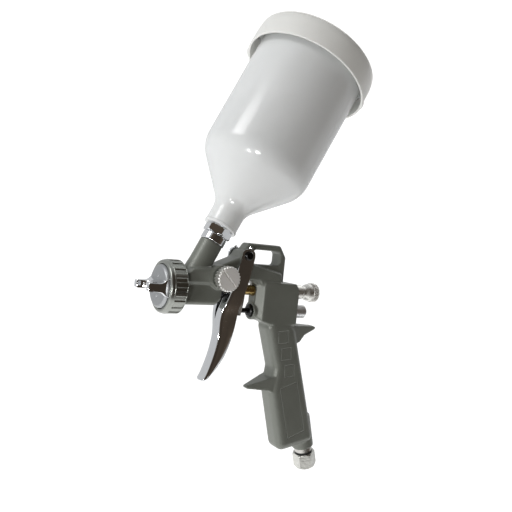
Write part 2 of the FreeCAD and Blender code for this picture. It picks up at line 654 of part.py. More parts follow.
# ---------------------------------------------------------------- needle, its sleeve and its knob
def make_needle_set():
    """Fluid needle with brass sleeve, front packing, rear spring, bush and adjusting knob."""
    finish(along_spray(turned("needle", [
        (ZERO, -needle_end), (needle_r, -needle_end), (needle_r, -head_back + 12.0),
        (needle_front_r, -head_back + 16.0), (needle_front_r, nozzle_tip - 4.4),
        (nozzle_hole_r * 0.45, nozzle_tip - 0.4), (ZERO, nozzle_tip)])), "fluid_needle")
    finish(along_spray(tube("sleeve", sleeve_r, needle_r, -sleeve_front - sleeve_long, -sleeve_front)),
           "needle_sleeve")
    finish(along_spray(tube("packing", nozzle_bore_r, needle_r + run_gap,
                            -head_back + 5.0, -head_back + 10.0)), "needle_packing")
    finish(along_spray(turned("packing_nut", [
        (needle_r + run_gap, -head_back + 5.0), (nozzle_bore_r, -head_back + 5.0),
        (nozzle_bore_r, -head_back), (nozzle_r, -head_back), (nozzle_r, -head_back - 3.4),
        (nozzle_r - 1.0, -head_back - 4.4), (needle_r + run_gap, -head_back - 4.4)])), "needle_packing_nut")
    spring_back = -knob_collar_back + 2.0 + spring_room
    finish(along_spray(tube("needle_spring_coil", spring_r, spring_r - spring_wire * 1.4, spring_back,
                            -sleeve_front - sleeve_long)), "needle_spring")
    finish(along_spray(turned("bush", [
        (needle_r + run_gap * 3, -knob_collar_back + 0.4), (knob_collar_r - 0.6, -knob_collar_back + 0.4),
        (knob_collar_r, -knob_collar_back + 1.4), (knob_collar_r, -block_back),
        (spring_r + spring_wire + 0.6, -block_back), (spring_r + spring_wire + 0.6, -block_back + 6.0),
        (spring_r + wide_gap, -block_back + 6.0), (spring_r + wide_gap, -knob_collar_back + 2.0),
        (needle_r + run_gap * 3, -knob_collar_back + 2.0)])), "needle_bush")
    back = -knob_collar_back - knob_long
    finish(along_spray(turned("knob", [
        (ZERO, back), (knob_r - 1.6, back), (knob_r, back + 1.8), (knob_r, back + 6.0),
        (knob_r - 0.6, back + 9.0), (knob_neck_r, -knob_collar_back - 1.6), (knob_neck_r, -knob_collar_back),
        (needle_r + wide_gap, -knob_collar_back), (needle_r + wide_gap, -needle_end - 6.2),
        (ZERO, -needle_end - 6.2)])), "needle_knob")


make_needle_set()


# ---------------------------------------------------------------- trigger
def make_trigger():
    """Pressed trigger: two splayed arms that meet in a channel, hung on a pin and two screws."""
    half_top = arch_half + wide_gap + trigger_sheet
    eighth = arm_end_r * 0.7
    profile = [(-pivot_back - arm_end_r, pivot_high), (-pivot_back - eighth, pivot_high + eighth),
               (-pivot_back, pivot_high + arm_end_r), (-pivot_back + eighth, pivot_high + eighth),
               (-pivot_back + arm_end_r, pivot_high)]
    front = [(-size("blade_a", 56.2), size("blade_a_high", 16.0)),
             (-size("blade_b", 51.7), ZERO - 6.0), (-size("blade_c", 48.2), ZERO - 18.0),
             (-size("blade_d", 48.3), ZERO - 30.0), (-size("blade_e", 47.6), ZERO - 42.0),
             (-size("blade_f", 45.2), ZERO - 53.0), (-size("blade_g", 42.0), ZERO - 63.0),
             (-size("blade_tip", 38.6), -size("blade_tip_low", 69.6))]
    rear = [(-size("blade_j", 43.6), ZERO - 68.8), (-size("blade_k", 48.6), ZERO - 63.4),
            (-size("blade_l", 53.6), ZERO - 56.4), (-size("blade_m", 58.4), ZERO - 47.0),
            (-size("blade_n", 61.6), ZERO - 37.0), (-size("blade_o", 62.6), ZERO - 28.0),
            (-size("blade_p", 62.8), ZERO - 18.0), (-size("blade_q", 64.2), ZERO - 7.0),
            (-size("blade_r", 67.8), ZERO + 6.0)]
    side = side_on(plate("trigger_side", profile + front + rear, half_top * 4))
    outer_points = [(half_top, pivot_high + arm_end_r + 2.0), (half_top, pivot_high - arm_end_r - 1.0),
                    (half_top - 0.2, arch_low - 1.0), (half_top - 1.0, ZERO - 6.0),
                    (size("arm_half_b", 9.6), ZERO - 11.0), (size("arm_half_c", 7.7), ZERO - 18.0),
                    (size("arm_half_d", 6.5), ZERO - 24.0), (blade_half, ZERO - 30.0),
                    (blade_half, ZERO - 74.0)]
    outer = outer_points + [(-a, b) for a, b in reversed(outer_points)]
    inner_points = [(a - trigger_sheet, b) for a, b in outer_points]
    inner_points[0] = (inner_points[0][0], pivot_high + arm_end_r + 4.0)
    inner_points[-1] = (inner_points[-1][0], ZERO - 76.0)
    inner = inner_points + [(-a, b) for a, b in reversed(inner_points)]
    deep = pivot_back * 4
    envelope = side_on(plate("trigger_outside", outer, deep, "YZ_Plane"))
    hollow = side_on(plate("trigger_inside", inner, deep, "YZ_Plane"))
    crotch = ZERO - 21.0
    room = [(ZERO - 20.0, pivot_high + 20.0), (ZERO - 20.0, crotch),
            (front[2][0] - trigger_web, crotch)]
    room += [(a - trigger_web, b) for a, b in front[3:-1]]
    room += [(front[-1][0] - trigger_web - 1.6, ZERO - 67.6), (-pivot_back - 20.0, ZERO - 80.0),
             (-pivot_back - 20.0, pivot_high + 20.0)]
    behind_web = side_on(plate("trigger_room", room, half_top * 4))
    shape = cut("trigger_hollow", shared("trigger_skin", [side, envelope]),
                shared("trigger_void", [hollow, behind_web]))
    hole = rod("trigger_hole", pivot_r + run_gap, -half_top - 2.0, half_top + 2.0)
    along_left(hole, -pivot_back, pivot_high)
    finish(cut("trigger_cut", shape, hole), "trigger")
    plate_back = sleeve_front - 1.6
    push = plate("push", [(-plate_back, ZERO + 5.0), (-plate_back + 2.0, ZERO + 5.0),
                          (-plate_back + 2.0, -valve_drop - 3.4), (-plate_back, -valve_drop - 3.4)],
                 half_top * 2)
    slot = plate("push_slot", [(-plate_back - 1.0, ZERO + 7.0), (-plate_back + 3.0, ZERO + 7.0),
                               (-plate_back + 3.0, ZERO - 3.2), (-plate_back - 1.0, ZERO - 3.2)],
                 needle_r * 2 + 1.0)
    finish(cut("push_cut", shared("push_between", [side_on(push), hollow]), side_on(slot)),
           "trigger_push_plate")
    pin = rod("pivot_pin", pivot_r, -half_top, half_top)
    finish(along_left(pin, -pivot_back, pivot_high), "trigger_pivot_pin")
    under_head = half_top + seat_gap
    heads = []
    for sign, name in ((1.0, "left"), (-1.0, "right")):
        head = turned("pivot_head_" + name, [
            (ZERO, under_head), (screw_head_r, under_head),
            (screw_head_r, under_head + screw_head_long * 0.6),
            (screw_head_r - 0.8, under_head + screw_head_long), (ZERO, under_head + screw_head_long)])
        put(head, -pivot_back, ZERO, pivot_high, XAXIS, -right_angle() * sign)
        heads.append(head)
    finish(fused("pivot_heads", heads), "trigger_pivot_screws")


make_trigger()


# ---------------------------------------------------------------- air valve
def make_air_valve():
    """Pin and poppet in one, guide nut, seat washer, spring and rear cap."""
    seat = -block_front - 11.0
    def at_valve(thing):
        return along_spray(thing, ZERO, ZERO, -valve_drop)
    finish(at_valve(turned("valve_stem", [
        (ZERO, seat - 6.0), (valve_bore_r - 2.4, seat - 6.0), (valve_bore_r - 2.4, seat - 2.0),
        (valve_pin_r, seat - 1.2), (valve_pin_r, -valve_pin_front - 0.8),
        (valve_pin_r - 0.8, -valve_pin_front), (ZERO, -valve_pin_front)])), "air_valve_stem")
    finish(at_valve(turned("valve_nut", [
        (valve_pin_r + run_gap, -block_front - 5.0), (valve_nut_r, -block_front - 5.0),
        (valve_nut_r, -valve_nut_front - 1.0), (valve_nut_r - 1.0, -valve_nut_front),
        (valve_pin_r + run_gap, -valve_nut_front)])), "air_valve_nut")
    finish(at_valve(tube("valve_packing", valve_nut_r, valve_pin_r + run_gap, -block_front - 8.0,
                         -block_front - 5.0)), "air_valve_packing")
    finish(at_valve(tube("valve_seat", valve_bore_r - 1.6, valve_pin_r + 1.2, seat - 1.0, seat)),
           "air_valve_seat")
    finish(at_valve(tube("valve_spring", valve_bore_r - 2.6, valve_bore_r - 3.8, -block_back + 14.5,
                         seat - 6.0)), "air_valve_spring")
    finish(at_valve(turned("valve_cap", [
        (ZERO, -valve_cap_back), (valve_cap_r - 1.6, -valve_cap_back), (valve_cap_r, -valve_cap_back + 1.6),
        (valve_cap_r, -block_back), (valve_bore_r - 1.6, -block_back),
        (valve_bore_r - 1.6, -block_back + 5.0),
        (valve_bore_r - 3.8, -block_back + 5.0), (valve_bore_r - 3.8, -valve_cap_back + 6.0),
        (ZERO, -valve_cap_back + 6.0)])), "air_valve_cap")


make_air_valve()


# ---------------------------------------------------------------- fan width valve on the left side
def make_fan_valve():
    """Gland, seal, stem and knurled knob with a screwdriver slot."""
    def at_fan(thing):
        return along_left(thing, -fan_back, fan_high)
    knob_in = fan_knob_out - fan_knob_long
    finish(at_fan(turned("fan_gland", [
        (fan_stem_r + run_gap, fan_boss_out - 5.0), (fan_gland_r - 1.4, fan_boss_out - 5.0),
        (fan_gland_r - 1.4, fan_boss_out), (fan_gland_r + 1.0, fan_boss_out),
        (fan_gland_r + 1.0, knob_in - wide_gap),
        (fan_stem_r + run_gap, knob_in - wide_gap)])), "fan_valve_gland")
    finish(at_fan(tube("fan_seal", fan_gland_r - 1.4, fan_stem_r + run_gap,
                       fan_boss_out - 8.0, fan_boss_out - 5.0)), "fan_valve_seal")
    finish(at_fan(turned("fan_stem", [
        (ZERO, fan_gland_r * 0.5 + 0.6), (fan_stem_r - 0.6, fan_gland_r * 0.5 + 0.6),
        (fan_stem_r, fan_gland_r * 0.5 + 2.4), (fan_stem_r, fan_knob_out - 2.4),
        (ZERO, fan_knob_out - 2.4)])), "fan_valve_stem")
    knob = at_fan(turned("fan_knob_blank", [
        (fan_stem_r, knob_in), (fan_knob_r - 0.8, knob_in), (fan_knob_r, knob_in + 0.8),
        (fan_knob_r, fan_knob_out - 0.8), (fan_knob_r - 1.0, fan_knob_out), (ZERO, fan_knob_out),
        (ZERO, fan_knob_out - 2.4), (fan_stem_r, fan_knob_out - 2.4)]))
    slot = plate("fan_knob_slot", [(-fan_knob_r - 2.0, ZERO - 0.6), (fan_knob_r + 2.0, ZERO - 0.6),
                                   (fan_knob_r + 2.0, ZERO + 0.6), (-fan_knob_r - 2.0, ZERO + 0.6)],
                 size("fan_slot_deep", 1.6))
    put(slot, -fan_back, fan_knob_out, fan_high, YAXIS, -right_angle() * 0.5)
    finish(cut("fan_knob_cut", knob, slot), "fan_knob")


make_fan_valve()


# ---------------------------------------------------------------- paint cup
def make_cup():
    """Threaded fitting with hexagon, gasket, strainer, nylon cup, push-on lid and vent plug."""
    hex_low = boss_end + collar_long
    hex_high = hex_low + cup_hex_long
    solid = fused("fitting_solid", [
        along_cup(rod("fitting_thread", socket_r, boss_end - socket_deep + 1.5, boss_end + 1.0)),
        along_cup(bevelled("fitting_collar", collar_r, nozzle_bore_r, boss_end, hex_low, ZERO + 0.8)),
        along_cup(prism("fitting_hex", cup_hex, hex_low, hex_high)),
        along_cup(rod("fitting_spigot", neck_bore_r, hex_high - 1.0, hex_high + neck_long - 2.0))])
    bore = along_cup(rod("fitting_bore", nozzle_bore_r, boss_end - socket_deep - 2.0,
                         hex_high + neck_long + 4.0))
    finish(cut("fitting_cut", solid, bore), "cup_fitting")
    finish(along_cup(tube("fitting_gasket", socket_r, nozzle_bore_r, boss_end - socket_deep,
                          boss_end - socket_deep + 1.5)), "cup_gasket")
    foot = hex_high
    cone = foot + neck_long
    shoulder = cone + cone_long
    rim = shoulder + cup_body_long
    cup = turned("cup", [
        (neck_bore_r, foot), (neck_r, foot), (neck_r, cone), (shoulder_r, shoulder),
        (cup_rim_r, rim - rim_flange_long), (cup_rim_r + rim_flange, rim - rim_flange_long),
        (cup_rim_r + rim_flange, rim), (cup_rim_r - cup_wall, rim),
        (shoulder_r - cup_wall, shoulder + 0.6), (neck_bore_r + 1.2, cone + 0.4),
        (neck_bore_r, cone - 2.0)])
    along_cup(cup)
    soften(cup, shoulder_round, lambda e: round_edge_at(e, shoulder_r, shoulder))
    soften(cup, shoulder_round - cup_wall, lambda e: round_edge_at(e, shoulder_r - cup_wall, shoulder + 0.6))
    soften(cup, neck_round, lambda e: round_edge_at(e, neck_r, cone))
    finish(cup, "paint_cup")
    finish(along_cup(turned("strainer", [
        (neck_bore_r - 1.2, hex_high + neck_long - 2.0), (neck_bore_r, hex_high + neck_long - 2.0),
        (neck_bore_r + 0.6, cone + 0.2), (neck_bore_r + 0.6, cone + 16.0), (ZERO, cone + 16.0),
        (ZERO, cone + 14.8), (neck_bore_r - 0.6, cone + 14.8)])), "cup_strainer")
    skirt_low = rim + lid_wall + 0.2 - lid_skirt
    top = rim + 0.2 + lid_wall
    lid = turned("lid", [
        (plug_r, rim + 0.2), (cup_rim_r + rim_flange + wide_gap, rim + 0.2),
        (cup_rim_r + rim_flange + wide_gap, skirt_low), (lid_r, skirt_low), (lid_r, top), (plug_r, top)])
    along_cup(lid)
    soften(lid, lid_round * 0.35, lambda e: round_edge_at(e, lid_r, top))
    finish(lid, "cup_lid")
    finish(along_cup(turned("plug", [
        (ZERO, rim - 1.6), (plug_r - 0.1, rim - 1.6), (plug_r - 0.1, top), (plug_r + 1.6, top),
        (plug_r + 1.6, top + 1.2), (plug_r, top + 1.8), (ZERO, top + 1.8)])), "lid_vent_plug")


def round_edge_at(edge, radius, height):
    """True for a full circle of this radius, round local Z at this height."""
    if not hasattr(edge.Curve, "Radius"):
        return False
    place = edge.CenterOfMass
    return abs(edge.Curve.Radius - number(radius)) < 1e-3 and abs(place.z - number(height)) < 1e-3


make_cup()


# ---------------------------------------------------------------- air inlet
def make_inlet():
    """Threaded nipple in the foot of the grip, sealing washer and hexagon nut."""
    nut_start = inlet_neck_long + inlet_nut_gap
    nut_end = nut_start + inlet_nut_long
    finish(along_inlet(turned("nipple", [
        (inlet_bore_r, ZERO - 10.0), (inlet_thread_r, ZERO - 10.0), (inlet_thread_r, foot_boss_past),
        (inlet_neck_r, foot_boss_past), (inlet_neck_r, inlet_neck_long), (inlet_tail_r, inlet_neck_long),
        (inlet_tail_r, nut_start + inlet_nut_grip - seat_gap),
        (inlet_bore_r, nut_start + inlet_nut_grip - seat_gap)])),
        "inlet_nipple")
    blank = along_inlet(prism("inlet_nut_blank", inlet_nut_flats, nut_start, nut_end))
    bore = along_inlet(turned("inlet_nut_bore", [
        (ZERO, nut_start - 2.0), (inlet_tail_r + run_gap, nut_start - 2.0),
        (inlet_tail_r + run_gap, nut_start + inlet_nut_grip), (inlet_minor_r, nut_start + inlet_nut_grip),
        (inlet_minor_r, nut_end + 2.0), (ZERO, nut_end + 2.0)]))
    corner = inlet_nut_flats / math.sqrt(3.0)
    barrel = along_inlet(turned("inlet_nut_barrel", [
        (ZERO, nut_start), (corner - 1.0, nut_start), (corner + 0.2, nut_start + 1.0),
        (corner + 0.2, nut_end - 1.0), (corner - 1.0, nut_end), (ZERO, nut_end)]))
    finish(cut("inlet_nut_cut", shared("inlet_nut_round", [blank, barrel]), bore), "inlet_nut")
    finish(along_inlet(tube("inlet_washer", inlet_neck_r, inlet_tail_r + run_gap, inlet_neck_long,
                            inlet_neck_long + inlet_nut_gap - seat_gap)), "inlet_seal")


make_inlet()
doc.recompute()

# ---------------------------------------------------------------- checks and files
faults = ["%s: %s" % (thing.Name, thing.State) for thing in doc.Objects
          if "Invalid" in thing.State or "Error" in thing.State]
for node, thing in finished.items():
    if thing.Shape.isNull() or not thing.Shape.isValid():
        faults.append(node + ": shape is empty or not valid")
    elif len(thing.Shape.Solids) != (2 if node == "trigger_pivot_screws" else 1):
        faults.append("%s: %d solids" % (node, len(thing.Shape.Solids)))
if faults:
    raise SystemExit("model not written\n" + "\n".join(faults))

os.makedirs("parts", exist_ok=True)
for node, thing in finished.items():
    thing.Shape.exportStep(os.path.join("parts", node + ".step"))
    print("%-22s %10.1f mm3" % (node, thing.Shape.Volume))
capacity = math.pi * (shoulder_r.value - cup_wall.value) ** 2 * cup_body_long.value / 1000.0
print("origin at the inlet mouth: (%.2f, 0, %.2f) in the modelling frame" % (origin_x.value, origin_z.value))
print("cup body holds about %.0f ml above the cone" % capacity)
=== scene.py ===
# %% [markdown]
# # A gravity-feed spray gun, finished around its CAD frame
#
# The CAD model already holds every part at its real size and place.  This notebook dresses it:
# each cell makes one piece or one finish, says what the real thing is, and why it is made this way.

import json
import math

import bmesh
import bpy
import numpy as np
from mathutils import Matrix, Vector


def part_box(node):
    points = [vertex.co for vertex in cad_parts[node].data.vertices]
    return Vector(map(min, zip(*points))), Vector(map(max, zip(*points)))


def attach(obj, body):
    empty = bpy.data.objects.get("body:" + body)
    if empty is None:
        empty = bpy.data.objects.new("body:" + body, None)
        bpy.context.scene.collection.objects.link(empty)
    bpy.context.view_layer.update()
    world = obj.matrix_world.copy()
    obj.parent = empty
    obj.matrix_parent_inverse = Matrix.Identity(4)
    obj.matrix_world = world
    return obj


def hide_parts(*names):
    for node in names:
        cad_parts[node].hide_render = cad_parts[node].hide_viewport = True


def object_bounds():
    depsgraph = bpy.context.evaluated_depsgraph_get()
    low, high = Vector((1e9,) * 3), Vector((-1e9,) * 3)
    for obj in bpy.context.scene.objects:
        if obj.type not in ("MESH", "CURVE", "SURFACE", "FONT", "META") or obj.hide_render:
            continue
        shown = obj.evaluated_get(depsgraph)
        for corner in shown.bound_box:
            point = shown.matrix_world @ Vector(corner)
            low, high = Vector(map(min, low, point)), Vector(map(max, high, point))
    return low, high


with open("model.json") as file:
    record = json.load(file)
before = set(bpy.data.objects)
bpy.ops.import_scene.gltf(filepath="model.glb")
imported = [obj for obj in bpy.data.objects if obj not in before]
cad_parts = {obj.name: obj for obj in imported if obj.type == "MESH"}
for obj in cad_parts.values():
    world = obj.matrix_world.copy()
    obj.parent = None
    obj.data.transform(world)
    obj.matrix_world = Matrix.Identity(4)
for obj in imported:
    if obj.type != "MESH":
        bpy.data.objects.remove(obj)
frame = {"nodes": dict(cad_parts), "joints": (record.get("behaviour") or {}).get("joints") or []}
cad_low, cad_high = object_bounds()
MM = 0.001

# %% [markdown]
# ## Where things are
# The spray axis is the centre line of the air cap ring, and most turned parts sit on it or on one
# of four other axes.  The spray axis and the ring face are read from the box of the ring and the
# ways of the cup and the inlet from the joints, so a piece made here lands where the CAD put its twin.

# %% Axes of the gun
ring_low, ring_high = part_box("air_cap_ring")
AXIS_Z = (ring_low.z + ring_high.z) / 2
FACE_X = ring_high.x
joint_of = {joint["name"]: joint for joint in frame["joints"]}


def gun(x, y, z):
    """A point given in mm from the open face of the ring, on the spray axis, as a frame point."""
    return Vector((FACE_X + x * MM, y * MM, AXIS_Z + z * MM))


CUP_WAY = Vector(joint_of["lid_lift"]["axis"]).normalized()
CUP_FOOT = gun(-20.7, 0, 0)
INLET_WAY = Vector(joint_of["inlet_nut_turn"]["axis"]).normalized()
SPRAY = Vector((1, 0, 0))
LEFT = Vector((0, 1, 0))
print("spray axis at z =", round(AXIS_Z / MM, 2), "mm")
print("ring face at x =", round(FACE_X / MM, 2), "mm")

# %% [markdown]
# ## Camera, floor and light
# A product shot: a long way of white all round, one large soft lamp high on the nozzle side, three
# smaller ones, and a darker room behind the camera so that chrome has something to mirror.

# %% Camera
CAMERA_SIDE = 146.7       # degrees round from behind, as the frame counts them
CAMERA_RISE = 1.6
CAMERA_ROLL = 5.9
LENS = 39.12
CAMERA_AT = gun(162.9, 368.3, 39.5)

camera_data = bpy.data.cameras.new("camera")
camera_data.lens = LENS
camera_data.sensor_width = 36.0
camera_data.clip_start = 0.01
camera = bpy.data.objects.new("camera", camera_data)
bpy.context.scene.collection.objects.link(camera)


def look(side, rise, roll):
    """Columns right, up and back of a camera at a side and rise angle, then rolled."""
    a, e, r = (math.radians(v) for v in (side, rise, roll))
    back = Vector((math.sin(a) * math.cos(e), -math.cos(a) * math.cos(e), math.sin(e)))
    right = Vector((0, 0, 1)).cross(back).normalized()
    up = back.cross(right)
    turned_right = math.cos(r) * right + math.sin(r) * up
    turned_up = -math.sin(r) * right + math.cos(r) * up
    return Matrix((turned_right, turned_up, back)).transposed()


camera.matrix_world = Matrix.Translation(CAMERA_AT) @ look(
    CAMERA_SIDE, CAMERA_RISE, CAMERA_ROLL).to_4x4()
bpy.context.scene.camera = camera
bpy.context.scene.view_settings.view_transform = "Standard"

# %% [markdown]
# ## Shader maths as plain expressions
# A finish is a small formula over the surface.  Wrapping a socket in a class lets the formula be
# written as one, and one method adds any other node.


# %% Shader maths
class Wire:
    """One output socket; + - and * add Math nodes to its tree."""

    def __init__(self, finish, socket):
        self.finish = finish
        self.socket = socket

    def maths(self, operation, first, second):
        """A Math node of two sockets or numbers."""
        return self.finish.add("ShaderNodeMath", {"operation": operation}, {0: first, 1: second})

    def __add__(self, other):
        return self.maths("ADD", self, other)

    def __sub__(self, other):
        return self.maths("SUBTRACT", self, other)

    def __rsub__(self, other):
        return self.maths("SUBTRACT", other, self)

    def __mul__(self, other):
        return self.maths("MULTIPLY", self, other)

    __radd__ = __add__
    __rmul__ = __mul__


class Finish:
    """A material under construction, with its Principled shader."""

    def __init__(self, name, **constants):
        self.material = bpy.data.materials.new(name)
        self.material.use_nodes = True
        self.tree = self.material.node_tree
        self.shader = self.tree.nodes["Principled BSDF"]
        for key, value in constants.items():
            self.shader.inputs[key.replace("_", " ")].default_value = value

    def add(self, kind, settings=None, sockets=None, out=0):
        """Any node: settings first (a ramp's stops too), then values or links of its sockets."""
        node = self.tree.nodes.new(kind)
        for key, value in (settings or {}).items():
            if key == "stops":
                ramp = node.color_ramp
                for i, (place, colour) in enumerate(value):
                    stop = ramp.elements[i] if i < 2 else ramp.elements.new(place)
                    stop.position = place
                    stop.color = (*colour, 1.0) if len(colour) == 3 else colour
            else:
                setattr(node, key, value)
        for key, value in (sockets or {}).items():
            if isinstance(value, Wire):
                self.tree.links.new(value.socket, node.inputs[key])
            else:
                node.inputs[key].default_value = value
        return Wire(self, node.outputs[out])

    def set(self, socket, wire):
        """Link a wire to a socket of the shader."""
        self.tree.links.new(wire.socket, self.shader.inputs[socket])

    def place(self, stretch=(1, 1, 1), turn=(0, 0, 0)):
        """Object coordinates, turned and stretched: numbers above 1 make the pattern finer."""
        where = self.add("ShaderNodeTexCoord", out="Object")
        return self.add("ShaderNodeMapping", {}, {
            "Vector": where, "Rotation": turn, "Scale": stretch})

    def noise(self, scale, detail=3.0, rough=0.5, where=None):
        """Noise between 0 and 1, in object coordinates unless told where."""
        where = where or self.place()
        return self.add("ShaderNodeTexNoise", {}, {
            "Vector": where, "Scale": scale, "Detail": detail, "Roughness": rough})

    def blend(self, mask, low, high):
        """A colour that goes from low to high as the mask goes from 0 to 1."""
        return self.add("ShaderNodeMix", {"data_type": "RGBA"}, {0: mask, 6: low, 7: high}, out=2)

    def distance_in_frame(self, centre, turn, half):
        """How far a point is outside a turned rectangle of the side view, in mm."""
        where = self.add("ShaderNodeTexCoord", out="Object")
        back = self.add("ShaderNodeMapping", {"vector_type": "TEXTURE"}, {
            "Vector": where, "Location": centre, "Rotation": (0, turn, 0), "Scale": (MM, MM, MM)})
        apart = self.add("ShaderNodeSeparateXYZ", {}, {0: back})
        across = Wire(self, apart.socket.node.outputs[0])
        along = Wire(self, apart.socket.node.outputs[2])
        reach = [self.maths_abs(wire) - size for wire, size in zip((across, along), half)]
        return self.add("ShaderNodeMath", {"operation": "MAXIMUM"}, {0: reach[0], 1: reach[1]})

    def maths_abs(self, wire):
        """The size of a value, without its sign."""
        return self.add("ShaderNodeMath", {"operation": "ABSOLUTE"}, {0: wire})

    def relief(self, height, depth, strength=1.0):
        """Bump from a height between 0 and 1; depth in metres."""
        bump = self.add("ShaderNodeBump", {}, {"Height": height, "Distance": depth,
                                               "Strength": strength})
        self.set("Normal", bump)


def paint_all(node_name, finish):
    """Give a CAD node a finish in place of its packed one."""
    slots = frame["nodes"][node_name].data.materials
    slots.clear()
    slots.append(finish.material)


def rgba(r, g, b):
    """A colour as the sockets want it, with full alpha."""
    return (r, g, b, 1.0)


# %% Finishes
# Each mark: x, z, lean in degrees, half width, half height.
GRIP_MARKS = ((-106.6, -36.2, 5, 4.9, 4.95), (-111.2, -50.0, 5, 4.9, 4.85),
              (-116.1, -64.0, 5, 4.9, 4.95), (-123.45, -97.2, 17.3, 8.7, 22.0))


def make_body_paint():
    """Grey-green enamel over a casting, with the shallow marks of the grip."""
    f = Finish("body_enamel", Metallic=0.25, Coat_Weight=0.12, Coat_Roughness=0.25)
    peel = f.noise(1500.0, 2.0)
    cloud = f.noise(60.0, 4.0)
    speck = f.noise(5200.0, 1.0)
    base = f.blend(cloud, rgba(0.138, 0.146, 0.126), rgba(0.172, 0.181, 0.158))
    f.set("Base Color", f.blend(f.add("ShaderNodeMath", {"operation": "MULTIPLY_ADD"}, {
        0: speck, 1: 1.6, 2: -0.75}), base, rgba(0.225, 0.236, 0.212)))
    f.set("Roughness", 0.34 + 0.16 * cloud)
    groove = 0.0
    for x, z, turn, wide, tall in GRIP_MARKS:
        away = f.maths_abs(f.distance_in_frame(gun(x, 0, z), math.radians(turn), (wide, tall)))
        line = f.add("ShaderNodeMath", {"operation": "SUBTRACT", "use_clamp": True},
                     {0: 1.0, 1: away * 2.2})
        groove = line + groove
    f.relief((peel * 0.7 + speck * 0.3) * 0.2 - groove, 0.00030)
    return f


def make_metal(name, low, high, rough, rough_span, stretch=(1, 1, 1), grain=900.0,
               depth=0.00001, turn=(0, 0, 0)):
    """A bare or plated metal, with grain stretched along its machining lines."""
    f = Finish(name, Metallic=1.0)
    line = f.noise(grain, 3.0, 0.6, f.place(stretch, turn))
    stain = f.noise(90.0, 3.0)
    f.set("Base Color", f.blend(line * 0.5 + stain * 0.5, rgba(*low), rgba(*high)))
    f.set("Roughness", rough + rough_span * line)
    f.relief(line, depth)
    return f


def make_plastic(name, low, high, rough, milk):
    """A plastic that lets a share of the light in, given by milk."""
    f = Finish(name, Subsurface_Weight=milk, Subsurface_Scale=0.01, IOR=1.5)
    f.shader.inputs["Subsurface Radius"].default_value = (1.0, 0.95, 0.9)
    cloud = f.noise(28.0, 4.0)
    skin = f.noise(700.0, 2.0)
    f.set("Base Color", f.blend(cloud, rgba(*low), rgba(*high)))
    f.set("Roughness", rough + 0.12 * skin)
    f.relief(skin * 0.6 + cloud * 0.4, 0.00006)
    return f


BODY = make_body_paint()
CHROME = make_metal("bright_chrome", (0.62, 0.63, 0.65), (0.74, 0.75, 0.76),
                    0.05, 0.05, grain=400.0)
NICKEL = make_metal("satin_nickel", (0.23, 0.24, 0.22), (0.36, 0.37, 0.345),
                    0.22, 0.16, (1, 8, 8), 500.0)
MATT = make_metal("matt_nickel", (0.33, 0.34, 0.345), (0.42, 0.43, 0.44),
                  0.38, 0.14, grain=2600.0, depth=0.00002)
STEEL = make_metal("turned_steel", (0.42, 0.41, 0.39), (0.56, 0.55, 0.52),
                   0.22, 0.14, (30, 1, 1), 300.0)
ALLOY = make_metal("knurled_alloy", (0.60, 0.595, 0.57), (0.82, 0.81, 0.78),
                   0.32, 0.2, (1, 1, 14), 420.0)
TIN = make_metal("satin_tin", (0.66, 0.67, 0.68), (0.84, 0.85, 0.86), 0.34, 0.16, (12, 1, 1),
                 420.0)
BRUSHED = make_metal("brushed_face", (0.86, 0.85, 0.83), (0.98, 0.97, 0.955),
                     0.56, 0.2, (1, 1, 16), 420.0, 0.00002, (0, 0.785, 0))
BRASS = make_metal("turned_brass", (0.46, 0.31, 0.11), (0.62, 0.46, 0.19),
                   0.20, 0.16, (30, 1, 1), 300.0)
ZINC = make_metal("bright_zinc", (0.30, 0.30, 0.275), (0.80, 0.80, 0.76),
                  0.18, 0.30, grain=520.0, depth=0.00035)
# Near-black steel, for the needle packing nut, the air valve stem and nut and the pivot screw heads.
DARK = make_metal("near_black_steel", (0.02, 0.02, 0.02), (0.05, 0.05, 0.05),
                  0.22, 0.2, grain=900.0)
NYLON = make_plastic("milky_nylon", (0.67, 0.685, 0.68), (0.75, 0.76, 0.755), 0.10, 0.3)
LID = make_plastic("lid_plastic", (0.70, 0.70, 0.67), (0.77, 0.77, 0.74), 0.36, 0.25)
TEFLON = make_plastic("white_teflon", (0.72, 0.72, 0.70), (0.80, 0.80, 0.78), 0.40, 0.1)
RUBBER = make_plastic("black_rubber", (0.012, 0.012, 0.012), (0.022, 0.022, 0.022), 0.5, 0.0)

FINISH_OF = {
    "gun_body": BODY, "air_cap": CHROME, "air_cap_ring": NICKEL, "fluid_nozzle": STEEL,
    "head_gasket": TEFLON, "fluid_needle": STEEL, "needle_sleeve": BRASS, "needle_packing": TEFLON,
    "needle_packing_nut": DARK, "needle_spring": STEEL, "needle_bush": ALLOY, "needle_knob": ALLOY,
    "trigger": CHROME, "trigger_push_plate": STEEL, "trigger_pivot_pin": STEEL,
    "trigger_pivot_screws": DARK, "air_valve_stem": DARK, "air_valve_nut": DARK,
    "air_valve_packing": TEFLON, "air_valve_seat": RUBBER, "air_valve_spring": STEEL,
    "air_valve_cap": TIN, "fan_valve_gland": NICKEL, "fan_valve_seal": RUBBER,
    "fan_valve_stem": BRASS, "fan_knob": ALLOY, "cup_fitting": CHROME, "cup_gasket": TEFLON,
    "paint_cup": NYLON, "cup_strainer": NYLON, "cup_lid": LID, "lid_vent_plug": LID,
    "inlet_nipple": STEEL, "inlet_nut": ZINC, "inlet_seal": RUBBER}
for node_name, node_finish in FINISH_OF.items():
    paint_all(node_name, node_finish)
print(len(FINISH_OF), "CAD nodes have a finish")


# %% [markdown]
# ## Measuring the CAD and making surfaces
# A turned part is its outline swept round an axis, so the outline's corners are rounded first,
# because real edges are never sharp, and then every point is worked out at once with numpy.


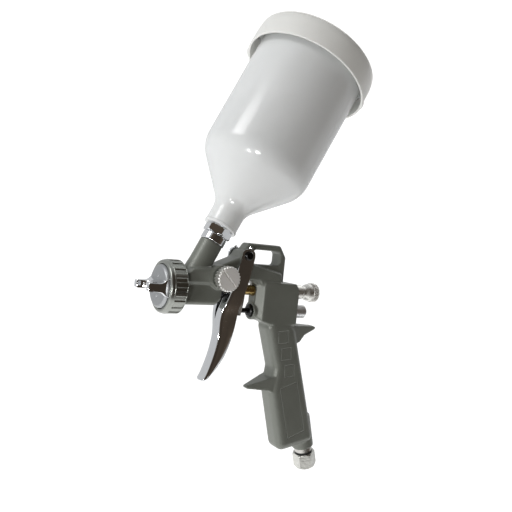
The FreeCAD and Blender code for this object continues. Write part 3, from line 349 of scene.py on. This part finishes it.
# %% Surface helpers
def span(node, foot, way):
    """Lowest and highest station of a CAD node along an axis, and its largest radius, in mm."""
    mesh = frame["nodes"][node].data
    flat = np.empty(len(mesh.vertices) * 3)
    mesh.vertices.foreach_get("co", flat)
    away = flat.reshape(-1, 3) - np.array(foot)
    along = away @ np.array(way)
    off = np.linalg.norm(away - along[:, None] * np.array(way), axis=1)
    return along.min() / MM, along.max() / MM, off.max() / MM


def round_off(points, reach, closed=False, steps=5):
    """Round corner b between its cut-back points a and c: (1-s)^2 a + 2s(1-s) b + s^2 c."""
    p = np.asarray(points, float)
    wanted = np.broadcast_to(np.asarray(reach, float), (len(p),))[:, None]

    def cut_back(way):
        length = np.linalg.norm(way, axis=1, keepdims=True)
        return p + way / np.maximum(length, 1e-9) * np.minimum(wanted, length * 0.48)

    a = cut_back(np.roll(p, 1, 0) - p)
    c = cut_back(np.roll(p, -1, 0) - p)
    if not closed:
        a[[0, -1]] = p[[0, -1]]
        c[[0, -1]] = p[[0, -1]]
    s = np.linspace(0, 1, steps)[None, :, None]
    curve = ((1 - s) ** 2 * a[:, None] + 2 * s * (1 - s) * p[:, None] + s ** 2 * c[:, None])
    curve = curve.reshape(-1, p.shape[1])
    return np.vstack([curve, curve[:1]]) if closed else curve


def lathe(outline, count, swell=None):
    """Turn (radius, height) rows about local Z: (r cos t, r sin t, h), r from swell(r, h, t)."""
    r, h = outline[:, 0:1], outline[:, 1:2]
    t = np.linspace(0, 2 * np.pi, count, endpoint=False)[None, :]
    radius = swell(r, h, t) if swell else r + 0 * t
    return np.stack([radius * np.cos(t), radius * np.sin(t), h + 0 * t], -1)


def stand(grid, foot, way, side=(0, 1, 0)):
    """Local mm to frame metres: Z runs along way from foot, X as near to side as it can."""
    w = np.array(way, float)
    w /= np.linalg.norm(w)
    x = np.array(side, float)
    x -= (x @ w) * w
    x /= np.linalg.norm(x)
    return np.array(foot) + MM * (grid[..., 0:1] * x + grid[..., 1:2] * np.cross(w, x)
                                  + grid[..., 2:3] * w)


def weave(rows, columns, around):
    """Corner numbers of the quads of a grid; the last column joins the first when around."""
    r = np.arange(rows - 1)[:, None]
    c = np.arange(columns if around else columns - 1)[None, :]
    here = r * columns + c
    beside = r * columns + (c + 1) % columns
    return np.stack([here, beside, beside + columns, here + columns], -1).reshape(-1, 4)


def piece(name, grids, finishes, body, stands_for, crease=35.0, outward=True):
    """Join (grid, around, finish number) surfaces in one mesh, close its seams and hand it over."""
    counts = [grid.shape[0] * grid.shape[1] for grid, _, _ in grids]
    starts = np.cumsum([0] + counts[:-1])
    points = np.concatenate([grid.reshape(-1, 3) for grid, _, _ in grids])
    woven = [weave(*grid.shape[:2], around) + start
             for (grid, around, _), start in zip(grids, starts)]
    quads = np.concatenate(woven).astype(np.int32)
    which = np.concatenate([np.full(len(w), n) for w, (_, _, n) in zip(woven, grids)])
    which = which.astype(np.int32)
    mesh = bpy.data.meshes.new(name)
    mesh.vertices.add(len(points))
    mesh.vertices.foreach_set("co", points.astype(np.float32).ravel())
    mesh.loops.add(quads.size)
    mesh.loops.foreach_set("vertex_index", quads.ravel())
    mesh.polygons.add(len(quads))
    mesh.polygons.foreach_set("loop_start", np.arange(0, quads.size, 4, dtype=np.int32))
    mesh.polygons.foreach_set("material_index", which)
    mesh.update(calc_edges=True)
    tidy(mesh, outward)
    for finish in finishes:
        mesh.materials.append(finish.material)
    mesh.shade_smooth()
    mesh.set_sharp_from_angle(angle=math.radians(crease))
    made = bpy.data.objects.new(name, mesh)
    bpy.context.scene.collection.objects.link(made)
    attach(made, body)
    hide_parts(*stands_for)
    print("%-16s %7d faces" % (name, len(mesh.polygons)))
    return made


def tidy(mesh, outward):
    """Merge the doubled points of seams and poles, then turn the faces outward."""
    work = bmesh.new()
    work.from_mesh(mesh)
    bmesh.ops.remove_doubles(work, verts=work.verts, dist=1e-6)
    bmesh.ops.dissolve_degenerate(work, edges=work.edges, dist=1e-7)
    if outward:
        bmesh.ops.recalc_face_normals(work, faces=work.faces)
    work.to_mesh(mesh)
    work.free()


def hexagon(flats, t):
    """Distance from the centre to a hexagon's side at angle t: half the flats over the cosine."""
    sixth = np.pi / 3
    return flats / 2 / np.cos((t + sixth / 2) % sixth - sixth / 2)


# %% [markdown]
# ## Paint cup
# A blow-moulded nylon cup: a short straight neck, a cone and a nearly straight body.  One closed
# outline gives both the outside and the inside, so light passes through a real wall.

# %% Paint cup
cup_low, cup_high, cup_wide = span("paint_cup", CUP_FOOT, CUP_WAY)
NECK, SHOULDER, WALL = cup_low + 18.0, cup_low + 53.6, 1.6
cup_outline = round_off(
    [(6.2, cup_low), (12.9, cup_low), (13.1, cup_low + 1.6), (12.6, cup_low + 2.4), (12.7, NECK),
     (43.7, SHOULDER), (45.3, cup_high - 4.0), (cup_wide, cup_high - 4.0), (cup_wide, cup_high),
     (45.3 - WALL, cup_high), (43.7 - WALL, SHOULDER + 0.6), (7.4, NECK + 0.4), (6.2, NECK - 2.0)],
    [0.2, 0.5, 0.4, 0.6, 6.0, 9.0, 0.6, 0.6, 0.6, 0.6, 8.0, 3.0, 1.0], closed=True, steps=9)
cup_grid = stand(lathe(cup_outline, 160), CUP_FOOT, CUP_WAY)
piece("cup_shell", [(cup_grid, True, 0)], [NYLON], "gun", ["paint_cup"])

# %% [markdown]
# ## Lid
# A push-on lid with a deep skirt, a soft top edge and two small lips to pull it off by.  The lips
# are the same outline pushed outward near two opposite angles.

# %% Lid
lid_low, lid_high, lid_wide = span("cup_lid", CUP_FOOT, CUP_WAY)


def lid_lips(r, h, t):
    """Pull the skirt in 1 mm, except low on it near t = 0 and half a turn, where the lips are."""
    low = np.clip((lid_low + 5.0 - h) / 3.0, 0, 1) * (r > lid_wide - 1.6)
    return r - 1.0 * (r > lid_wide - 1.6) + 1.0 * low * np.exp(-(np.sin(t) / 0.09) ** 4)


skirt_in = cup_wide + 0.45
lid_outline = round_off(
    [(4.0, lid_high - 1.7), (skirt_in, lid_high - 1.7), (skirt_in, lid_low), (lid_wide, lid_low),
     (lid_wide, lid_low + 2.0), (lid_wide, lid_low + 5.0), (lid_wide, lid_high - 6.0),
     (lid_wide - 0.6, lid_high - 1.2), (lid_wide - 6.0, lid_high), (lid_wide - 9.0, lid_high - 0.6),
     (lid_wide - 14.0, lid_high), (4.0, lid_high)],
    [0.2, 1.0, 0.8, 0.7, 0.2, 0.2, 2.0, 3.0, 2.5, 2.0, 2.0, 0.2], closed=True, steps=7)
LID_SIDE = (-0.836, 0.549, 0.0)
lid_grid = stand(lathe(lid_outline, 192, lid_lips), CUP_FOOT, CUP_WAY, LID_SIDE)
piece("lid_shell", [(lid_grid, True, 0)], [LID], "lid", ["cup_lid"])

# %% [markdown]
# ## Air cap ring
# A turned ring with eighteen broad flutes for the fingers and a polished front bezel.  The flutes
# are a pulse of the angle taken off the radius between the two shoulders.

# %% Air cap ring
RING = gun(0, 0, 0)
ring_back, _, ring_wide = span("air_cap_ring", RING, SPRAY)
FLUTES = 18
FLUTE_DEEP = 0.75


def fluted(r, h, t):
    """Take the flute's depth off where cos(18 t) is high, from -3.7 to -12.6 mm."""
    band = np.clip((-3.7 - h) / 0.3, 0, 1) * np.clip((h + 12.6) / 0.3, 0, 1) \
        * (r > ring_wide - 0.8)
    groove = np.clip((np.cos(FLUTES * t) + 0.1) * 2.4, 0, 1)
    return r - FLUTE_DEEP * band * groove


ring_rows = [(16.1, -0.7), (16.5, -0.15), (17.0, 0.0), (18.2, -0.1), (19.0, -0.8), (19.35, -2.0),
             (19.4, -3.0), (ring_wide - 0.15, -3.3), (ring_wide, -3.7), (ring_wide, -4.0),
             (ring_wide, -12.3), (ring_wide, -12.6), (ring_wide - 0.1, -12.8),
             (ring_wide - 0.9, ring_back), (15.1, ring_back), (15.1, -5.7), (17.5, -5.7),
             (17.5, -2.2), (16.1, -2.2)]
ring_outline = round_off(ring_rows, [0.3, 0.2, 0.4, 0.8, 0.6, 0.5, 0.2] + [0.1] * 6
                         + [0.3, 0.3, 0.1, 0.1, 0.1, 0.1], closed=True, steps=4)
ring_grid = stand(lathe(ring_outline, FLUTES * 16, fluted), RING, SPRAY)
piece("ring_shell", [(ring_grid, True, 0)], [NICKEL], "air_cap_ring", ["air_cap_ring"],
      crease=30)

# %% [markdown]
# ## Air cap
# The face is blasted matt, and a polished ridge crosses it and rises into the two air horns.  The
# ridge is the side view of the horns swept across its own width, with a flare where it meets the
# face, so it widens like cast metal does.

# %% Air cap
CAP_FACE = 2.2
cap_outline = round_off(
    [(2.5, -1.0), (2.5, CAP_FACE - 0.6), (13.4, CAP_FACE), (14.6, CAP_FACE - 0.1), (15.5, CAP_FACE - 1.1),
     (15.9, 0.0), (15.95, -2.2), (17.4, -2.25), (17.4, -4.6), (13.8, -4.65), (13.8, -7.5),
     (12.0, -7.5), (12.0, -1.0)], [0.1, 0.2, 0.5, 0.6, 0.6] + [0.2] * 8, closed=True, steps=4)
face_rows = np.stack([np.linspace(2.6, 13.0, 40), np.full(40, CAP_FACE - 0.02)], 1)
cut_in = int(np.argmax(cap_outline[:, 0] > 12.5))
cap_local = lathe(np.vstack([cap_outline[:cut_in], face_rows, cap_outline[cut_in:]]), 192)
from_button = np.hypot(np.abs(cap_local[..., 1]) - 7.4, cap_local[..., 0])
on_front = cap_local[..., 2] > CAP_FACE - 0.3
cap_local[..., 2] -= on_front * 0.55 * np.clip((1.25 - from_button) / 0.5, 0, 1)
cap_grid = stand(cap_local, RING, SPRAY)

flank = round_off([(15.2, -0.6), (14.5, 3.2), (13.7, 8.0), (13.55, 13.9), (12.9, 14.55), (10.0, 14.55),
                   (9.2, 13.6), (8.9, 10.6), (6.4, 6.9), (3.2, 5.5), (0.0, 5.35)],
                  [0.1, 2.0, 2.0, 0.5, 0.5, 0.6, 0.6, 2.0, 2.4, 1.6, 0.1], steps=6)
flank = np.vstack([flank, flank[-2::-1] * (-1, 1)])
across = np.linspace(-1, 1, 41)
side_y, top_x = flank[:, 0:1], flank[:, 1:2]
top_half = 2.35 + 0.5 * np.clip(np.abs(side_y) / 9.0, 0, 1)
fall = np.clip((np.abs(across)[None, :] - 0.45) / 0.55, 0, 1)
crown = 0.55 * np.clip(np.abs(across) / 0.45, 0, 1)[None, :] ** 5 * (fall == 0) + 0.55 * (fall > 0)
ridge_x = top_x - crown - (top_x - 0.55 + 0.6) * fall ** 1.3
ridge_x = np.maximum(ridge_x, -0.6)
flare = ((0.7 + 2.9 * (np.abs(side_y) / 14.0) ** 2)
         * np.exp(-np.maximum(ridge_x - CAP_FACE, 0) / 1.9))
ridge_z = np.sign(across)[None, :] * (top_half * np.clip(np.abs(across)[None, :] / 0.45, 0, 1)
                                      + flare * fall ** 0.7)
ridge = np.stack([ridge_x, side_y + 0 * ridge_x, ridge_z], -1)
inside = np.hypot(ridge[..., 1], ridge[..., 2]) < 2.6
ridge[..., 0] = np.where(inside, np.minimum(ridge[..., 0], -0.6), ridge[..., 0])
ridge_grid = np.array(RING) + MM * ridge
floor_grid = ridge_grid[:, [0, -1]]
piece("cap_shell", [(cap_grid, True, 0), (ridge_grid, False, 1), (floor_grid, False, 1)],
      [MATT, CHROME], "air_cap", ["air_cap"], crease=50)

# %% [markdown]
# ## Trigger
# A steel pressing, bright chromed: two arms hang on the pivot and close into a channel below.  Its
# skin is one surface of height and of way round the section, from the rear edge of a flank, round
# the front corner, to the middle.  The notch between the arms is where that way stops short.

# %% Trigger
side_rows = np.array([
    # z, front x, rear x, outer half width
    (32.9, -65.4, -65.5, 11.4), (32.4, -63.3, -67.6, 11.4), (30.8, -61.0, -69.8, 11.4),
    (27.2, -59.7, -71.1, 11.4), (23.0, -59.3, -70.6, 11.4), (16.0, -57.2, -69.2, 11.35),
    (7.0, -54.9, -67.7, 11.2), (-6.0, -51.7, -64.6, 10.5), (-11.0, -50.0, -63.6, 9.6),
    (-18.0, -48.2, -62.9, 7.7), (-24.0, -48.0, -62.7, 6.6), (-30.0, -48.3, -62.5, 6.05),
    (-37.0, -48.3, -61.5, 5.9), (-42.0, -47.6, -60.1, 5.9), (-47.0, -46.7, -58.3, 5.9),
    (-53.0, -45.2, -55.6, 5.9), (-58.0, -43.7, -52.5, 5.9), (-63.0, -42.0, -48.8, 5.9),
    (-66.5, -40.5, -45.6, 5.9), (-68.9, -39.2, -42.8, 5.6), (-69.6, -38.9, -40.6, 5.2)])
fine_z = np.concatenate([np.linspace(32.9, 27.0, 14), np.linspace(26.0, -17.0, 44),
                         np.linspace(-17.5, -34.0, 50), np.linspace(-34.5, -69.6, 60)])


def smooth_rows(wanted, rows):
    """Each column as a smooth function of z: a cubic through the rows, slopes from neighbours."""
    z = rows[::-1, 0]
    values = rows[::-1, 1:]
    slope = np.gradient(values, z, axis=0)
    i = np.clip(np.searchsorted(z, wanted) - 1, 0, len(z) - 2)
    h = (z[i + 1] - z[i])[:, None]
    s = (wanted[:, None] - z[i][:, None]) / h
    return ((2 * s**3 - 3 * s**2 + 1) * values[i] + (s**3 - 2 * s**2 + s) * h * slope[i]
            + (3 * s**2 - 2 * s**3) * values[i + 1] + (s**3 - s**2) * h * slope[i + 1])


trigger_rows = smooth_rows(fine_z, side_rows)
front_x, rear_x, half_y = (trigger_rows[:, k:k + 1] for k in range(3))
height = fine_z[:, None]
CROTCH = -23.0
TRIGGER_SHEET = 1.6
above = np.maximum(height - CROTCH, 0)
flange = 0.4 + 2.8 * (1 - np.clip((height - 6.0) / 14.0, 0, 1))
gap = np.minimum(half_y - flange, 0.10 * above + 0.35 * np.sqrt(above)
                 + 2.5 * np.maximum(height + 3.0, 0))
corner = 2.6
turn_end = np.arccos(np.clip((gap - (half_y - corner)) / corner, 0, 1))
turn_end = np.where(gap < half_y - corner, np.pi / 2, turn_end)
flat_part = np.linspace(0, 1, 16)[None, :]
bend_part = np.linspace(0, 1, 10)[None, 1:]
web_part = np.linspace(0, 1, 9)[None, 1:]
bend = bend_part * turn_end
pull = corner * (1 - np.sin(turn_end)) * np.clip((front_x - rear_x) / 6.0, 0, 1)
centre_x = front_x - corner + pull
bow = 0.25 * np.sin(np.pi * flat_part)
flat_x = rear_x + (centre_x - rear_x) * flat_part
rolled = (1.3 * np.clip((0.5 - flat_part) / 0.5, 0, 1) ** 1.6
          * np.clip((-height - 24.0) / 14.0, 0, 1))
flat_y = half_y - bow * np.clip(-height / 20.0, 0, 1) - rolled
bend_x = centre_x + corner * np.sin(bend)
bend_y = half_y - corner + corner * np.cos(bend)
last_x, last_y = bend_x[:, -1:], bend_y[:, -1:]
web_y = last_y + (np.minimum(gap, last_y) - last_y) * web_part
web_x = last_x + 0.5 * (1 - (web_y / np.maximum(last_y, 0.1)) ** 2)
skin = np.stack([np.hstack([flat_x, bend_x, web_x]), np.hstack([flat_y, bend_y, web_y]),
                 np.repeat(height, 16 + 9 + 8, axis=1)], -1)
near = np.array(RING) + MM * skin
far = np.array(RING) + MM * (skin * (1, -1, 1))[:, ::-1]
trigger = piece("trigger_skin", [(near, False, 0), (far, False, 0)], [CHROME], "trigger",
                ["trigger"], crease=60, outward=False)
wall = trigger.modifiers.new("wall", "SOLIDIFY")
wall.thickness = TRIGGER_SHEET * MM
wall.offset = -1.0
wall.use_even_offset = False
rim = trigger.modifiers.new("rim", "BEVEL")
rim.width = 0.35 * MM
rim.segments = 2
rim.limit_method = "ANGLE"
rim.angle_limit = math.radians(50)

# %% [markdown]
# ## Knobs
# Both adjusters are turned and then knurled.  The fan knob has rounded serrations and a slot for a
# screwdriver across its brushed face; the needle knob flares and has a fine straight knurl.

# %% Fan knob
FAN = gun(-42.2, 0, 9.6)
fan_in, fan_out, fan_wide = span("fan_knob", FAN, LEFT)
SLOT_ANGLE = math.radians(-45)
HALF_TEETH = 12
TOOTH_DEEP = 0.95


def serrated(r, h, t):
    """Rounded teeth: take off the depth times one less the size of cos(12 t), at the rim."""
    rim_share = np.clip((r - fan_wide + 1.6) / 1.0, 0, 1)
    return r - TOOTH_DEEP * rim_share * (1 - np.abs(np.cos(HALF_TEETH * t)) ** 0.8)


face_r = np.linspace(8.2, 0.0, 46)
knob_rows = np.vstack([
    round_off([(0.0, fan_out - 2.6), (2.4, fan_out - 2.6), (2.4, fan_in), (8.2, fan_in),
               (fan_wide, fan_in + 1.0), (fan_wide, fan_out - 0.9), (8.7, fan_out), (8.3, fan_out)],
              [0.1, 0.1, 0.1, 0.3, 0.5, 0.7, 0.2, 0.1], steps=5),
    np.stack([face_r, np.full(46, fan_out)], 1)])
fan_local = lathe(knob_rows, 240, serrated)
off_line = fan_local[..., 0] * math.sin(SLOT_ANGLE) - fan_local[..., 1] * math.cos(SLOT_ANGLE)
on_face = fan_local[..., 2] > fan_out - 0.4
fan_local[..., 2] -= on_face * 0.9 * np.clip((0.62 - np.abs(off_line)) / 0.2, 0, 1)
fan_grid = stand(fan_local, FAN, LEFT, (1, 0, 0))
rim_rows = len(knob_rows) - len(face_r)
piece("fan_knob_shell", [(fan_grid[:rim_rows], True, 0), (fan_grid[rim_rows - 1:], True, 1)],
      [ALLOY, BRUSHED], "fan_knob", ["fan_knob"])

# %% Needle knob
knob_back, knob_front, knob_wide = span("needle_knob", RING, SPRAY)
KNURL_TEETH = 40
KNURL_DEEP = 0.34


def knurled(r, h, t):
    """A straight knurl, on the flared head only."""
    share = np.clip((r - 7.0) / 0.8, 0, 1)
    return r - KNURL_DEEP * share * (0.5 + 0.5 * np.cos(KNURL_TEETH * t)) ** 2


needle_knob_rows = round_off(
    [(0.0, knob_back + 0.9), (4.6, knob_back + 0.9), (5.4, knob_back), (knob_wide - 1.0, knob_back),
     (knob_wide, knob_back + 1.2), (knob_wide, knob_back + 5.4), (7.3, knob_back + 6.4),
     (7.1, knob_back + 9.4), (5.6, knob_front - 2.6), (5.3, knob_front - 1.9), (5.3, knob_front),
     (2.1, knob_front), (2.1, -134.0), (0.0, -134.0)],
    [0.1, 0.2, 0.2, 0.6, 0.7, 0.4, 0.5, 1.2, 0.5, 0.3, 0.3, 0.2, 0.1, 0.1], steps=5)
needle_knob_grid = stand(lathe(needle_knob_rows, 240, knurled), RING, SPRAY)
piece("needle_knob_shell", [(needle_knob_grid, True, 0)], [ALLOY], "needle_knob", ["needle_knob"])

# %% [markdown]
# ## Hexagons
# The cup fitting and the inlet nut are hexagon bar, chamfered on the lathe: the radius is the
# smaller of the hexagon's and the chamfer cone's, so the curved chamfer lines come by themselves.


# %% Cup fitting and inlet nut
def hexed(flats, low, high, drop=1.0):
    """Hexagon radius between low and high, cut by cones that meet its corners at both ends."""
    def swell(r, h, t):
        rise = np.clip(np.minimum(h - low, high - h), 0, drop) / drop
        cone = flats / 2 + 0.15 + rise * flats * 0.09
        shape = np.minimum(hexagon(flats, t), cone)
        return np.where((r > flats / 2 - 0.6) & (h > low - 0.01) & (h < high + 0.01), shape, r)
    return swell


fit_low, fit_high, _ = span("cup_fitting", CUP_FOOT, CUP_WAY)
FIT_HEX = 19.0
hex_rows = np.stack([np.full(14, FIT_HEX / 2 + 0.3), np.linspace(cup_low - 6.6, cup_low, 14)], 1)
fitting_rows = np.vstack([
    round_off([(3.6, fit_low), (6.6, fit_low), (6.6, cup_low - 13.2), (8.9, cup_low - 13.2),
               (9.4, cup_low - 12.6), (9.4, cup_low - 7.4), (8.7, cup_low - 6.7)],
              [0.1, 0.5, 0.1, 0.4, 0.4, 0.4, 0.1], steps=4),
    [(8.8, cup_low - 6.62)], hex_rows,
    [(6.2, cup_low), (6.2, fit_high), (3.6, fit_high), (3.6, fit_low)]])
fitting_grid = stand(lathe(fitting_rows, 180, hexed(FIT_HEX, cup_low - 6.6, cup_low)),
                     CUP_FOOT, CUP_WAY, (0.643, 0.766, 0.0))
piece("fitting_shell", [(fitting_grid, True, 0)], [CHROME], "gun", ["cup_fitting"],
      crease=25)

MOUTH = Vector((0, 0, 0))
nut_low, nut_high, _ = span("inlet_nut", MOUTH, INLET_WAY)
NUT_HEX = 17.0
nut_bar = np.stack([np.full(20, NUT_HEX / 2 + 0.3), np.linspace(nut_low, nut_high, 20)], 1)
nut_rows = np.vstack([[(5.9, nut_low), (7.6, nut_low)], nut_bar,
                      [(7.4, nut_high), (6.6, nut_high), (5.9, nut_high - 0.7), (5.9, nut_low)]])
nut_grid = stand(lathe(nut_rows, 180, hexed(NUT_HEX, nut_low, nut_high, 1.6)), MOUTH, INLET_WAY,
                 (1, 0, 0))
piece("nut_shell", [(nut_grid, True, 0)], [ZINC], "inlet_nut", ["inlet_nut"], crease=25)


# %% [markdown]
# ## Springs
# The CAD stands a plain sleeve in for each coil.  Here the wire is a tube swept along a helix.

# %% Springs
def coil(name, node, foot, wire, turns, body):
    """A helix tube: a circle of wire goes round a middle line that turns evenly."""
    low, high, wide = span(node, foot, SPRAY)
    t = np.linspace(0, turns * 2 * np.pi, turns * 28)[:, None]
    s = np.linspace(0, 2 * np.pi, 10, endpoint=False)[None, :]
    middle = wide - wire / 2
    r = middle + wire / 2 * np.cos(s)
    h = low + wire / 2 + (high - low - wire) * t / t[-1] + wire / 2 * np.sin(s)
    shape = np.stack([r * np.cos(t), r * np.sin(t), h + 0 * r], -1)
    start = shape[:1].mean(1, keepdims=True) + 0 * shape[:1]
    end = shape[-1:].mean(1, keepdims=True) + 0 * shape[-1:]
    grid = stand(np.concatenate([start, shape, end]), foot, SPRAY)
    piece(name, [(grid, True, 0)], [STEEL], body, [node])


coil("needle_coil", "needle_spring", RING, 0.85, 11, "needle")
coil("valve_coil", "air_valve_spring", gun(0, 0, -16.3), 0.7, 5, "air_valve")

# %% [markdown]
# ## Cast body
# The body is a pressure casting under enamel, and no edge of it is sharp.  A copy of the CAD solid
# is merged, turned into one even skin by a voxel remesh and relaxed, which rounds every edge and
# fillets every inside corner about as the die does.

# %% Cast body
def cast_skin(node, voxel, rounds):
    """A merged copy of a CAD node, remeshed at a voxel size in mm and smoothed."""
    copy = frame["nodes"][node].data.copy()
    copy.name = node + "_skin"
    tidy(copy, False)
    made = bpy.data.objects.new("body_skin", copy)
    bpy.context.scene.collection.objects.link(made)
    remesh = made.modifiers.new("even", "REMESH")
    remesh.mode = "VOXEL"
    remesh.voxel_size = voxel * MM
    relax = made.modifiers.new("relax", "SMOOTH")
    relax.factor = 0.5
    relax.iterations = rounds
    graph = bpy.context.evaluated_depsgraph_get()
    skin_mesh = bpy.data.meshes.new_from_object(made.evaluated_get(graph))
    made.modifiers.clear()
    made.data = skin_mesh
    skin_mesh.shade_smooth()
    return made


body_skin = cast_skin("gun_body", 0.62, 5)
body_skin.data.materials.clear()
body_skin.data.materials.append(BODY.material)
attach(body_skin, "gun")
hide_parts("gun_body")
print("body skin has", len(body_skin.data.polygons), "faces")


# %% Floor and lights
FLOOR_WIDE = 1.25
FLOOR_DROP = 0.35
FLOOR_BACK = 0.75


def make_floor():
    """A round white floor, below the gun and set back behind it."""
    f = Finish("studio_floor", Roughness=0.95, Specular_IOR_Level=0.0, Emission_Strength=0.55)
    f.set("Base Color", f.blend(f.noise(3.0), rgba(0.93, 0.93, 0.93), rgba(0.95, 0.95, 0.95)))
    f.shader.inputs["Emission Color"].default_value = rgba(1.0, 1.0, 1.0)
    mesh = bpy.data.meshes.new("floor")
    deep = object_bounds()[0].z - FLOOR_DROP
    turn = np.linspace(0, 2 * np.pi, 96, endpoint=False)
    rim_points = np.stack([FLOOR_WIDE * np.cos(turn), FLOOR_WIDE * np.sin(turn) - FLOOR_BACK,
                           np.full(96, deep)], 1)
    mesh.from_pydata(rim_points.tolist(), [], [list(range(96))])
    mesh.materials.append(f.material)
    floor = bpy.data.objects.new("floor", mesh)
    bpy.context.scene.collection.objects.link(floor)


def make_lamp(name, place, target, width, energy):
    """A square lamp at a place, turned to its target."""
    data = bpy.data.lights.new(name, "AREA")
    data.shape = "SQUARE"
    data.size = width
    data.energy = energy
    lamp = bpy.data.objects.new(name, data)
    bpy.context.scene.collection.objects.link(lamp)
    lamp.location = place
    lamp.rotation_euler = (target - place).to_track_quat("-Z", "Y").to_euler()


make_floor()
MIDDLE = (Vector(cad_low) + Vector(cad_high)) / 2
make_lamp("key", MIDDLE + Vector((1.05, 0.05, 0.9)), MIDDLE, 0.5, 5.6)
make_lamp("near", MIDDLE + Vector((0.62, 0.62, -0.16)), MIDDLE, 0.07, 1.6)
make_lamp("nearer", MIDDLE + Vector((0.85, 0.42, -0.2)), MIDDLE, 0.07, 1.6)
make_lamp("rim", MIDDLE + Vector((-0.9, -0.3, 0.6)), MIDDLE, 0.6, 2.5)

# %% [markdown]
# The world is the room that the chrome mirrors: pale behind the gun and overhead, and a dark warm
# stretch on the near side.  Rays that reach it straight from the camera see plain white instead.

# %% Room
DARK_WAY = Vector((-0.06, 0.99, 0.06)).normalized()


def make_room():
    """The world: what chrome mirrors, and plain white for the camera."""
    world = bpy.data.worlds.new("studio")
    world.use_nodes = True
    bpy.context.scene.world = world
    tree = world.node_tree
    back = tree.nodes["Background"]

    def node(kind, **settings):
        made = tree.nodes.new(kind)
        for key, value in settings.items():
            setattr(made, key, value)
        return made

    where = node("ShaderNodeTexCoord")
    facing = node("ShaderNodeVectorMath", operation="DOT_PRODUCT")
    facing.inputs[1].default_value = DARK_WAY
    tree.links.new(where.outputs["Generated"], facing.inputs[0])
    ramp = node("ShaderNodeValToRGB")
    ramp.color_ramp.elements[0].position = 0.32
    ramp.color_ramp.elements[0].color = (0.98, 0.99, 1.0, 1.0)
    ramp.color_ramp.elements[1].position = 0.52
    ramp.color_ramp.elements[1].color = (0.15, 0.115, 0.085, 1.0)
    deeper = ramp.color_ramp.elements.new(0.90)
    deeper.color = (0.07, 0.055, 0.042, 1.0)
    clutter = node("ShaderNodeTexNoise")
    clutter.inputs["Scale"].default_value = 3.2
    clutter.inputs["Detail"].default_value = 2.0
    tree.links.new(where.outputs["Generated"], clutter.inputs["Vector"])
    stir = node("ShaderNodeMath", operation="MULTIPLY_ADD")
    tree.links.new(clutter.outputs[0], stir.inputs[0])
    stir.inputs[1].default_value = 0.34
    stir.inputs[2].default_value = -0.17
    total = node("ShaderNodeMath", operation="ADD")
    tree.links.new(facing.outputs["Value"], total.inputs[0])
    tree.links.new(stir.outputs[0], total.inputs[1])
    tree.links.new(total.outputs[0], ramp.inputs[0])
    sight = node("ShaderNodeLightPath")
    mix = node("ShaderNodeMix", data_type="RGBA")
    tree.links.new(sight.outputs["Is Camera Ray"], mix.inputs[0])
    tree.links.new(ramp.outputs[0], mix.inputs[6])
    mix.inputs[7].default_value = (1.6, 1.6, 1.6, 1.0)
    tree.links.new(mix.outputs[2], back.inputs["Color"])
    back.inputs["Strength"].default_value = 0.72


make_room()
